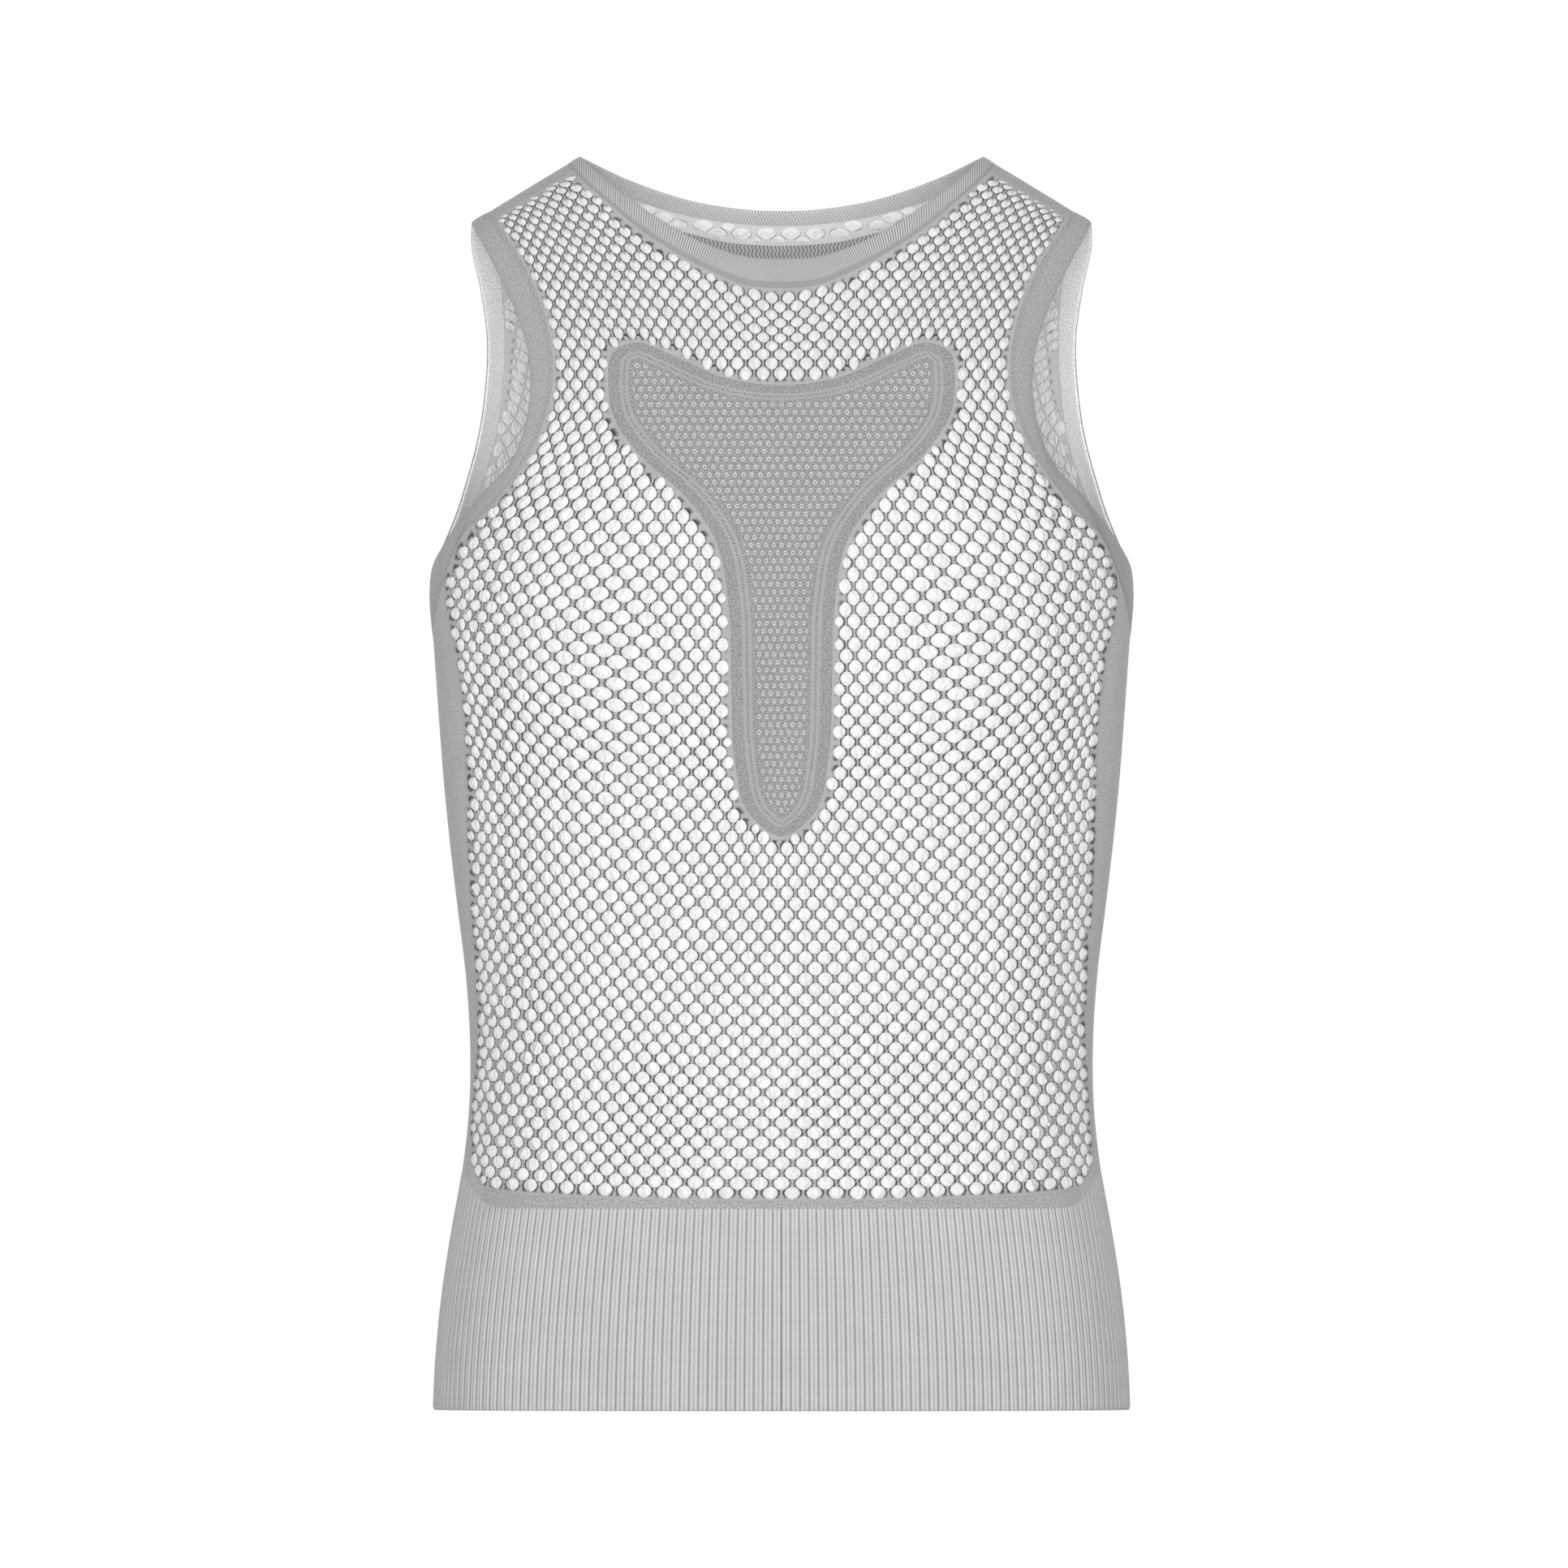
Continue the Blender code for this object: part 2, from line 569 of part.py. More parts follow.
def ribbed_hem(material):
    """The hem's ring: crests and gutters on its outer side, a plain inner side."""
    around = rib_angles(2 * RIBS)
    knots = rib_angles(HEM_KNOTS)
    tops = rib_top(knots)
    cells = np.arange(2 * RIBS) * HEM_KNOTS / (2 * RIBS)
    top = np.interp(cells, np.arange(HEM_KNOTS + 1), np.append(tops, tops[0])) - SEAM_GAP / 2 * MM
    share = np.linspace(0, 1, RIB_ROWS + 1)[:, None]
    height = top * (1 - share) + HEM_HEIGHT * MM * share
    crest = np.where(np.arange(2 * RIBS) % 2 == 0, RIB_HEIGHT / 2, -RIB_HEIGHT / 2) * MM
    flat_around = np.tile(around, RIB_ROWS + 1)
    base = surface(flat_around, height.reshape(-1))
    out = normals(base)
    outer = base + out * np.tile(crest, RIB_ROWS + 1)[:, None]
    inner = (base - out * (RIB_WALL + RIB_HEIGHT / 2) * MM).reshape(RIB_ROWS + 1, -1, 3)[:, ::2]
    outside = np.arange((RIB_ROWS + 1) * 2 * RIBS).reshape(RIB_ROWS + 1, -1)
    within = np.arange((RIB_ROWS + 1) * RIBS).reshape(RIB_ROWS + 1, -1) + outside.size
    nxt, nxt_in = np.roll(outside, -1, axis=1), np.roll(within, -1, axis=1)
    faces = np.stack([outside[:-1], outside[1:], nxt[1:], nxt[:-1]], axis=-1).reshape(-1, 4).tolist()
    faces += np.stack([within[:-1], nxt_in[:-1], nxt_in[1:], within[1:]], axis=-1).reshape(-1, 4).tolist()
    for row, flip in ((0, False), (RIB_ROWS, True)):
        first, gutter, second = outside[row, ::2], outside[row, 1::2], np.roll(outside[row, ::2], -1)
        rim = np.stack([within[row], first, gutter, second, nxt_in[row]], axis=-1)
        faces += (rim[:, ::-1] if flip else rim).tolist()
    add_object("hem_rib", np.concatenate([outer, inner.reshape(-1, 3)]), faces, material)


build()
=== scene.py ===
# %% [markdown]
# # A sleeveless base layer in open honeycomb knit
#
# The garment is filled out as when it is worn, with nobody in it: an open net front and back, a
# dense zone on the chest and another on the spine, plain side panels, knitted bands round the
# neck and the arms, and a deep ribbed hem. The imported solids are loaded first. They stay in the
# model, hidden, and every one of them is covered by a finer piece made here.

# %% Load the imported model
import math

import bpy
import numpy as np
from mathutils.geometry import delaunay_2d_cdt
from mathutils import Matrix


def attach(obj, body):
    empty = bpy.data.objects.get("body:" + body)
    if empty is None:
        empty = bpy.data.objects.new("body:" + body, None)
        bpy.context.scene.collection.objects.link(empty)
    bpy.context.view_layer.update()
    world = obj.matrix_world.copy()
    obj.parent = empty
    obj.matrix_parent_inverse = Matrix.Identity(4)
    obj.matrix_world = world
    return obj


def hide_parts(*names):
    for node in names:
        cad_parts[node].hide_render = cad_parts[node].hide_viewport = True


MM = 0.001
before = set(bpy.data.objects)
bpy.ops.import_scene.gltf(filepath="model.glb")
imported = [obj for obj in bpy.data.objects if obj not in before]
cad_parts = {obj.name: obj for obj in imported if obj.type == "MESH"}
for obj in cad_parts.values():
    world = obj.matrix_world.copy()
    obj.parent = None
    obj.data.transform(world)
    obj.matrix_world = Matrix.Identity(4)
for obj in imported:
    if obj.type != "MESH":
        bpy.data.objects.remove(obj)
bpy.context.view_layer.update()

# %% [markdown]
# ## One surface for the whole garment
#
# Cloth that is worn follows the body, so all the pieces lie on one smooth form. It could be
# sculpted, but then every seam would have to be fitted by hand. A formula is easier: each level
# is a rounded oval whose width and depth come from a short table, and towards the shoulders the
# depth closes like a rounded fold. A place is an angle around, from the centre front, and a height.

# %% The oval at each height
SQUARENESS = 2.4             # exponent of the oval, 2 for an ellipse
SECTIONS = (                 # height, half width, front depth, back depth, in mm
    (0, 195, 62, 58),
    (-35, 192, 66, 64),
    (-60, 188, 73, 75),
    (-106, 182, 90, 92),
    (-150, 178.5, 103, 101),
    (-180, 179, 109, 103),
    (-200, 181.5, 111, 102.5),
    (-216, 184, 112, 102),
    (-232, 185, 112, 101),
    (-260, 183, 111, 98.5),
    (-294, 180.6, 109, 95),
    (-328, 178, 106, 91),
    (-362, 174.6, 102.5, 87.5),
    (-396, 170.6, 99, 84.5),
    (-430, 166.4, 96, 82),
    (-465, 164.1, 94, 81),
    (-499, 164.4, 94, 82.5),
    (-533, 168, 96, 86),
    (-567, 174, 98.5, 90),
    (-601, 179.1, 101, 94),
    (-636, 182.4, 103, 97.5),
    (-660, 183.5, 104, 99),
)


def smooth(knots, values, at):
    """Cubic curve through (knots, values): the slope at a knot is the mean of its two chords'."""
    knots, values, at = (np.asarray(v, float) for v in (knots, values, at))
    chord = np.diff(values, axis=0) / np.diff(knots).reshape((-1,) + (1,) * (values.ndim - 1))
    slope = np.concatenate([chord[:1], (chord[1:] + chord[:-1]) / 2, chord[-1:]])
    i = np.clip(np.searchsorted(knots, at) - 1, 0, len(knots) - 2)
    step = (knots[i + 1] - knots[i]).reshape((-1,) + (1,) * (values.ndim - 1))
    t = (at.reshape(-1) - knots[i].reshape(-1)).reshape(step.shape) / step
    return (
        values[i] * (1 + 2 * t) * (1 - t) ** 2
        + values[i + 1] * (3 - 2 * t) * t ** 2
        + step * (slope[i] * t * (1 - t) ** 2 - slope[i + 1] * (1 - t) * t ** 2)
    )


def eased(value, low, high):
    """Smooth step of an array between low and high."""
    share = np.clip((value - low) / (high - low), 0, 1)
    return share * share * (3 - 2 * share)


def section(z):
    """Half width, front depth and back depth at the heights z, in metres."""
    table = np.array(SECTIONS[::-1], float) * MM
    return smooth(table[:, 0], table[:, 1:], np.clip(z, table[0, 0], table[-1, 0])).T


# %% The fold over the shoulders
NECK_HALF_WIDTH = 105.6      # centre line to a neck point, mm
SHOULDER_HALF_WIDTH = 163.3  # centre line to a shoulder tip
FOLD = 110.0                 # height below the shoulder line over which the depth opens
FOLD_ROUNDNESS = 2.6         # exponent of that opening
RIDGE_SLOPE = 0.65           # fall of the shoulder line
RIDGE_ROUNDING = 50.0        # keeps that line smooth across the neck
ON_RIDGE = 0.05              # a place this little under the shoulder line is on it
NEAR_RIDGE = 0.3             # share of the fold in which the normal follows the shoulder line
SLOPE_STEP = 2e-5            # metres ahead and behind at which a slope is read


def ridge(x):
    """Height of the shoulder line: a hyperbola across, which is zero at the neck points."""
    reach = np.hypot(x, RIDGE_ROUNDING * MM)
    return -RIDGE_SLOPE * (reach - math.hypot(NECK_HALF_WIDTH, RIDGE_ROUNDING) * MM)


def opening(x, z):
    """Share of the full depth at (x, z): a rounded quarter turn that starts at the shoulder line."""
    below = ridge(x) - z
    left = np.clip(1 - np.where(below < ON_RIDGE * MM, 0, below) / (FOLD * MM), 0, 1)
    return (1 - left ** FOLD_ROUNDNESS) ** (1 / FOLD_ROUNDNESS)


def surface(around, z):
    """Points at the angles around and heights z: x = half width times sine times reach,
    y = minus depth times cosine times reach times opening, where reach makes the circle an oval."""
    across, along = np.sin(around), np.cos(around)
    reach = (np.abs(across) ** SQUARENESS + np.abs(along) ** SQUARENESS) ** (-1 / SQUARENESS)
    width, front, back = section(z)
    x = width * across * reach
    y = -np.where(along > 0, front, back) * along * reach * opening(x, z)
    return np.stack([x, y, z], axis=-1)


def level(p):
    """Zero on the surface and growing outwards; one form suits the ridge, one the sides."""
    x, y, z = p.T
    width, front, back = section(z)
    depth = np.where(y < 0, front, back)
    ratio = np.clip(np.abs(x) / width, 0, 2) ** SQUARENESS
    below = ridge(x) - z
    left = np.clip(1 - below / (FOLD * MM), 0, None)
    share = np.clip(1 - left ** FOLD_ROUNDNESS, 1e-9, None) ** (1 / FOLD_ROUNDNESS)
    by_side = ratio + (np.abs(y) / (depth * share)) ** SQUARENESS
    full = depth * np.clip(1 - ratio, 1e-3, None) ** (1 / SQUARENESS)
    by_ridge = (np.abs(y) / full) ** FOLD_ROUNDNESS + left ** FOLD_ROUNDNESS
    return by_side, by_ridge, below < NEAR_RIDGE * FOLD * MM


def normals(points):
    """Unit outward normals: how fast level() grows along x, y and z, scaled to length one."""
    near = level(points)[2]
    slopes = []
    for axis in np.eye(3) * SLOPE_STEP:
        ahead, behind = level(points + axis), level(points - axis)
        slopes.append(np.where(near, ahead[1] - behind[1], ahead[0] - behind[0]))
    out = np.stack(slopes, axis=1)
    return out / np.linalg.norm(out, axis=1, keepdims=True)


def around_of(x, z):
    """The angle around of the front point at x across and height z."""
    ratio = np.clip(np.abs(x) / section(z)[0], 0, 1)
    return np.sign(x) * np.arctan2(ratio, (1 - ratio ** SQUARENESS) ** (1 / SQUARENESS))


waist = section(np.array([-0.465]))[:, 0]
print("waist: half width %.4f, front depth %.4f, back depth %.4f m" % tuple(waist))

# %% [markdown]
# ## The lines where the pieces meet
#
# A knitted garment changes stitch along clear lines: neck band to net, net to side panel, net to
# ribs. They are drawn as they are seen from the front, as millimetres from the centre line and
# millimetres of height, and then wrapped onto the surface. The same lines made the solids, so each
# finer piece covers its own solid.

# %% Seam lines, as seen from the front
FRONT_NECK_OPENING = ((0, -54), (18.4, -53), (40.2, -46), (54.3, -39), (73.5, -26.8), (95, -10.8))
FRONT_NECK_SEAM = (
    (0, -70), (18.4, -68.4), (33.8, -62.5), (56.9, -50.4), (74.8, -38.6), (91, -25), (103, -14.6),
)
BACK_NECK_OPENING = ((0, -28.2), (18.4, -27.4), (44, -23.6), (62, -18.6), (82.5, -11))
BACK_NECK_SEAM = ((0, -35.2), (18.4, -34.5), (44, -31), (62, -26.6), (84, -19.4), (100, -12.8))
FRONT_ARM_OPENING = (
    (156, -49), (141.5, -79), (133.2, -106), (133.4, -134), (142, -160), (158, -178),
    (171, -193.5), (180.3, -208),
)
FRONT_ARM_SEAM = (
    (133.8, -61), (122.5, -92), (120.6, -122), (128.4, -149), (141.9, -171.4), (156, -188),
    (168.5, -201),
)
BACK_ARM_OPENING = (
    (163.6, -48), (159, -70), (155.6, -95), (156, -115), (160, -146), (166.5, -171),
    (174.2, -194), (180.3, -208),
)
BACK_ARM_SEAM = (
    (150.5, -50), (148.6, -70), (147.2, -95), (148, -115), (151.5, -144), (157.5, -166),
    (168, -192),
)
ARM_FOOT = ((181.2, -236), (183.3, -246))
NET_SIDE = (
    (175.8, -243), (171.6, -263), (168, -290), (166.2, -325), (165.4, -366), (163.2, -405),
    (160.7, -445), (160.5, -474), (163, -498), (164, -519), (162.6, -533),
)
NET_BOTTOM = ((0, -549.6), (60, -549.2), (110, -547.8), (144, -545.6))
ARM_CORNER, NECK_CORNER = (151.3, 5.3), (109.8, 5.2)  # across, and under the shoulder line
ARM_RIDGE_ACROSS, NECK_RIDGE_ACROSS = 154.0, 112.5
UNDERARM_CORNER, HEM_CORNER, BORDER_END = (177.2, -222), (156.8, -543.4), (158.6, -549.5)
UNDERARM_HEIGHT, BAND_FOOT_HEIGHT = -216.0, -252.0
CHEST_ZONE = (
    (0, -121), (30, -117), (58, -105), (76, -98.5), (88, -103), (91, -118), (88, -138),
    (74, -158), (50, -180), (34, -204), (28, -235), (26.5, -275), (24.5, -318), (17, -346),
    (0, -358),
)
SPINE_ZONE = (
    (0, -46), (30, -44), (54, -38.5), (70, -37), (79, -46), (78, -64), (64, -92), (44, -126),
    (33, -170), (30, -230), (29, -300), (26, -352), (16, -378), (0, -388),
)
HEM_HEIGHT, RIB_TOP, RIB_TOP_RISE, RIB_TOP_SIDE = -660.0, -553.8, 20.0, math.radians(25)

# %% Lines wrapped onto the surface
WIDE = 0.13                  # metres of cloth for each radian around, near enough to space points
FINE_STEPS = 4000
NECK_STEPS, NECK_END_STEPS = 84, 6
ARM_STEPS, ARM_END_STEPS, UNDERARM_STEPS = 48, 6, 16
SIDE_STEPS, BOTTOM_STEPS, ZONE_STEPS = 90, 108, 220
STRIP_KNOTS, STRIP_STEPS = 5, 16
HEM_KNOTS, NEAR_KNOT = 384, 0.008    # knots all round, but none so few radians from a seam's end


def places(rows):
    """Rows of (across, height) in mm as (around, height) places on the front."""
    x, z = np.array(rows, float).reshape(-1, 2).T * MM
    return np.stack([around_of(x, z), z], axis=1)


def on_ridge(across, below=0.0):
    """The row at x = across, so far under the shoulder line."""
    return (across, float(ridge(across * MM)) / MM - below)


def to_back(edge):
    """The same edge on the back."""
    return np.stack([math.pi - edge[..., 0], edge[..., 1]], axis=-1)


def to_right(edge):
    """The mirror image on the wearer's right."""
    return edge * (-1, 1)


def placed(edges, face="front", side="left"):
    """Edges of the left front moved to this face and side; each mirror turns their order round."""
    if face == "back":
        edges = [to_back(edge)[::-1] for edge in edges]
    if side == "right":
        edges = [to_right(edge)[::-1] for edge in edges]
    return edges


# %% Edges of equal chords
def run_along(points):
    """Length run from the first of the points to each of them, down their first axis."""
    steps = np.linalg.norm(np.diff(points, axis=0), axis=-1)
    return np.concatenate([np.zeros_like(steps[:1]), np.cumsum(steps, axis=0)])


def trace(points, stops, steps):
    """Edge through the places: steps[i] chords of equal length from row stops[i] to the next."""
    knots = run_along(points * (WIDE, 1))
    fine = np.unique(np.concatenate([np.linspace(0, knots[-1], FINE_STEPS), knots]))
    dense = smooth(knots, points, fine)
    run = run_along(surface(*dense.T))
    at = np.interp(knots[list(stops)], fine, run)
    wanted = [at[:1]] + [np.linspace(a, b, n + 1)[1:] for a, b, n in zip(at, at[1:], steps)]
    wanted = np.concatenate(wanted)
    return np.stack([np.interp(wanted, run, dense[:, k]) for k in (0, 1)], axis=1)


def whole_trace(points, steps):
    """Edge through all the places, in steps chords of equal length."""
    return trace(points, (0, len(points) - 1), (steps,))


def both_sides(rows):
    """Places of rows that start on the centre line, with their mirror image put before them."""
    half = places(rows)
    return np.concatenate([to_right(half)[:0:-1], half])


# %% Edges of the bands
def neck_edges(opening_rows, seam_rows, finer=1):
    """Open edge and seam of a neck band, from the right neck point to the left one."""
    seam = both_sides(seam_rows + (on_ridge(*NECK_CORNER), on_ridge(NECK_RIDGE_ACROSS)))
    last = len(seam) - 1
    steps = tuple(finer * n for n in (NECK_END_STEPS, NECK_STEPS, NECK_END_STEPS))
    rim = both_sides(opening_rows + (on_ridge(NECK_HALF_WIDTH),))
    return whole_trace(rim, sum(steps)), trace(seam, (0, 1, last - 1, last), steps)


def arm_edges():
    """Open edge and seam of the left arm band, from the front shoulder line to the back one."""
    tip, crossing = on_ridge(SHOULDER_HALF_WIDTH), on_ridge(ARM_RIDGE_ACROSS)
    corner = on_ridge(*ARM_CORNER)
    side = [[math.pi / 2, UNDERARM_HEIGHT * MM]]
    foot = [[math.pi / 2, BAND_FOOT_HEIGHT * MM]]
    front, back = places((tip,) + FRONT_ARM_OPENING), places((tip,) + BACK_ARM_OPENING)
    rim = np.concatenate([front, side, to_back(back)[::-1]])
    front = places((crossing, corner) + FRONT_ARM_SEAM + (UNDERARM_CORNER,) + ARM_FOOT)
    back = places((crossing, corner) + BACK_ARM_SEAM + (UNDERARM_CORNER,) + ARM_FOOT)
    seam = np.concatenate([front, foot, to_back(back)[::-1]])
    half = (ARM_END_STEPS, ARM_STEPS, UNDERARM_STEPS)
    turn, last, below = len(front), len(seam) - 1, len(ARM_FOOT) + 1
    stops = (0, 1, turn - below, turn, turn + below, last - 1, last)
    rim_turn = len(FRONT_ARM_OPENING) + 1
    return (
        trace(rim, (0, rim_turn, len(rim) - 1), (sum(half),) * 2),
        trace(seam, stops, half + half[::-1]),
    )


def strip_edge():
    """Seam of net and shoulder strip on the left front, from the neck corner to the arm corner."""
    corners = np.linspace(NECK_CORNER, ARM_CORNER, STRIP_KNOTS)
    return whole_trace(places([on_ridge(*corner) for corner in corners]), STRIP_STEPS)


# %% Top of the ribs
def rib_top(around):
    """Height of the top of the ribs: level, with a rise at each side."""
    from_side = np.abs((around % math.pi) - math.pi / 2)
    return (RIB_TOP + RIB_TOP_RISE * np.exp(-((from_side / RIB_TOP_SIDE) ** 4))) * MM


def rib_angles(steps):
    """Angles around that cut the hem into equal steps, starting at the centre front."""
    fine = np.linspace(0, 2 * math.pi, FINE_STEPS + 1)
    run = run_along(surface(fine, np.full(fine.shape, (RIB_TOP + HEM_HEIGHT) / 2 * MM)))
    return np.interp(np.arange(steps) / steps * run[-1], run, fine)


def hem_seam(start, end):
    """Seam over the ribs from the angle start to the angle end, both included."""
    knots = rib_angles(HEM_KNOTS)
    knots = np.concatenate([knots - 2 * math.pi, knots, knots + 2 * math.pi])
    between = knots[(knots > start + NEAR_KNOT) & (knots < end - NEAR_KNOT)]
    around = np.concatenate([[start], between, [end]])
    return np.stack([around, rib_top(around)], axis=1)


# %% Outlines of the zones, and the seams of the nets
def zone_loop(rows):
    """Closed outline of a dense zone, with the zone on its left."""
    half = places(rows)
    whole = np.concatenate([half, to_right(half)[-2:0:-1], half[:1]])
    whole = np.concatenate([whole[-3:-1], whole, whole[1:3]])
    return trace(whole, (2, len(whole) - 3), (ZONE_STEPS,))[:-1][::-1]


def joined(*edges):
    """One closed loop of edges that follow each other, without their doubled corners."""
    return np.concatenate([edge[:-1] for edge in edges])


arm_rim, arm_seam = arm_edges()
side_seam = whole_trace(places((UNDERARM_CORNER,) + NET_SIDE + (HEM_CORNER,)), SIDE_STEPS)
bottom_seam = whole_trace(both_sides(NET_BOTTOM + (HEM_CORNER,)), BOTTOM_STEPS)
strip_seam = strip_edge()
ridge_line = places(
    [on_ridge(x) for x in np.linspace(NECK_RIDGE_ACROSS, ARM_RIDGE_ACROSS, STRIP_STEPS + 1)]
)
print("arm opening has", len(arm_rim), "points, net side", len(side_seam))

# %% [markdown]
# ## Cloth walls
#
# Cloth has two faces. A Solidify modifier would give every piece the same thickness; here the
# outer and the inner face get a height of their own at each point, so that threads, eyelets and
# ribs are real relief and an open edge rolls over. Both faces use the same triangles, one of them
# turned round, or the inner face has plainer ones of its own; a rim joins them along each edge.

# %% How wide and long a piece is cut
LEVELS, LINE_POINTS = 25, 60 # runs measured across a piece, and points on each


def run_length(spots):
    """Length of a line of places, measured along the surface."""
    return float(np.linalg.norm(np.diff(surface(*spots.T), axis=0), axis=1).sum())


def widest(loop, axis):
    """Longest run across a loop at a constant height (axis 1) or angle around (axis 0)."""
    ahead, best = np.roll(loop, -1, axis=0), 0.0
    low, high = loop[:, axis].min(), loop[:, axis].max()
    for at in low + (high - low) * (np.arange(LEVELS) + 0.5) / LEVELS:
        across = (loop[:, axis] <= at) != (ahead[:, axis] <= at)
        a, b = loop[across], ahead[across]
        met = a + (b - a) * ((at - a[:, axis]) / (b[:, axis] - a[:, axis]))[:, None]
        ends = met[[met[:, 1 - axis].argmin(), met[:, 1 - axis].argmax()]]
        best = max(best, run_length(np.linspace(ends[0], ends[1], LINE_POINTS)))
    return best


# %% Pieces from whole arrays
def make_piece(name, points, faces, material, maps, shares, crisp):
    """Mesh object from arrays; maps are UV maps and shares are single numbers, both per point.

    crisp says for each point whether it lies on a seam: an edge between two such points is sharp,
    so that the shading of two pieces that meet there runs on without a dark line.
    """
    mesh = bpy.data.meshes.new(name)
    mesh.vertices.add(len(points))
    mesh.vertices.foreach_set("co", points.astype(np.float32).ravel())
    mesh.loops.add(faces.size)
    mesh.loops.foreach_set("vertex_index", faces.astype(np.int32).ravel())
    mesh.polygons.add(len(faces))
    starts = np.arange(len(faces), dtype=np.int32) * faces.shape[1]
    mesh.polygons.foreach_set("loop_start", starts)
    mesh.update(calc_edges=True)
    for key, values in maps.items():
        layer = mesh.uv_layers.new(name=key)
        layer.uv.foreach_set("vector", values[faces.ravel()].astype(np.float32).ravel())
    for key, values in shares.items():
        layer = mesh.attributes.new(key, "FLOAT", "POINT")
        layer.data.foreach_set("value", np.asarray(values, np.float32))
    mesh.materials.append(material)
    mesh.shade_smooth()
    ends = np.empty(2 * len(mesh.edges), np.int32)
    mesh.edges.foreach_get("vertices", ends)
    mesh.edges.foreach_set("use_edge_sharp", crisp[ends.reshape(-1, 2)].all(axis=1))
    piece = bpy.data.objects.new(name, mesh)
    bpy.context.scene.collection.objects.link(piece)
    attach(piece, "root")
    return piece


def quads(a, b, c, d):
    """Two triangles for each square whose corners, in turn, are entries of the four arrays."""
    a, b, c, d = (corners.ravel() for corners in (a, b, c, d))
    return np.concatenate([np.stack([a, b, c], axis=1), np.stack([a, c, d], axis=1)])


def rim_faces(loops, count):
    """Triangles that join the outer to the inner face along loops of equal length."""
    here, there = loops, np.roll(loops, -1, axis=-1)
    return quads(there, here, here + count, there + count)


def cloth_wall(name, spots, triangles, loops, outer, inner, material,
               maps, shares, seams=(), lining=None, cut=None):
    """Closed wall over the triangles: point = surface + normal * height, once for each face.

    outer and inner are heights in mm. A share named "inside" is 0 outside and 1 on the inner face.
    seams are the loops, or parts of them, with a crisp edge. lining gives the inner face points
    and triangles of its own, which start with the same loops; maps then cover both faces.
    """
    count = len(spots)
    if lining is None:
        lining = spots, triangles
        maps = {key: np.concatenate([uv, uv]) for key, uv in maps.items()}
        shares = {key: np.concatenate([s, s]) for key, s in shares.items()}
    under, under_triangles = lining
    top, back = surface(*spots.T), surface(*under.T)
    cut = cut or (widest(spots[loops[0]], 1), widest(spots[loops[0]], 0))
    outer = np.broadcast_to(outer, count)[:, None] * MM
    inner = np.broadcast_to(inner, len(under))[:, None] * MM
    points = np.concatenate([top + normals(top) * outer, back + normals(back) * inner])
    rims = [rim_faces(np.atleast_2d(loop), count) for loop in loops]
    faces = np.concatenate([triangles, under_triangles[:, ::-1] + count] + rims)
    shares = {**shares, "inside": np.repeat([0.0, 1.0], [count, len(under)])}
    crisp = np.zeros(len(points), bool)
    for seam in seams:
        crisp[seam] = True
        crisp[seam + count] = True
    piece = make_piece(name, points, faces, material, maps, shares, crisp)
    print(f"{name}: {len(faces)} triangles")
    return piece


# %% How far a point is from an edge
def inside(points, loop):
    """Which points lie inside the closed loop, by crossings of a ray to the right."""
    x, y = points.T[:, :, None]
    (x0, y0), (x1, y1) = loop.T, np.roll(loop, -1, axis=0).T
    crosses = (y0 > y) != (y1 > y)
    with np.errstate(divide="ignore", invalid="ignore"):
        at = x0 + (y - y0) / (y1 - y0) * (x1 - x0)
    return (crosses & (x < at)).sum(axis=1) % 2 == 1


def distance(points, loop):
    """Distance of each point from the loop's chords."""
    start, chord = loop, np.roll(loop, -1, axis=0) - loop
    share = ((points[:, None] - start) * chord).sum(axis=2) / (chord ** 2).sum(axis=1)
    nearest = start + np.clip(share, 0, 1)[..., None] * chord
    return np.linalg.norm(points[:, None] - nearest, axis=2).min(axis=1)


BATCH = 2000                 # points measured at a time, which keeps the arrays small


def room(points, loops):
    """Signed distance to the edge, in metres of cloth: positive inside the first loop and outside
    the others."""
    free = []
    for part in np.array_split(points * (WIDE, 1), len(points) // BATCH + 1):
        least = np.full(len(part), np.inf)
        for order, loop in enumerate(loops):
            edge = loop * (WIDE, 1)
            gap = distance(part, edge)
            within = inside(part, edge)
            least = np.minimum(least, np.where(within == (order == 0), gap, -gap))
        free.append(least)
    return np.concatenate(free)


# %% Triangles over a region
NO_HOLES = np.zeros((0, 3, 2))
TOO_CLOSE = 1e-9             # metres under which two points would be merged; none is that near
GRID_ROWS, GRID_CLEAR = 0.87, 0.55   # of a plain grid: row height and clearance, in spacings


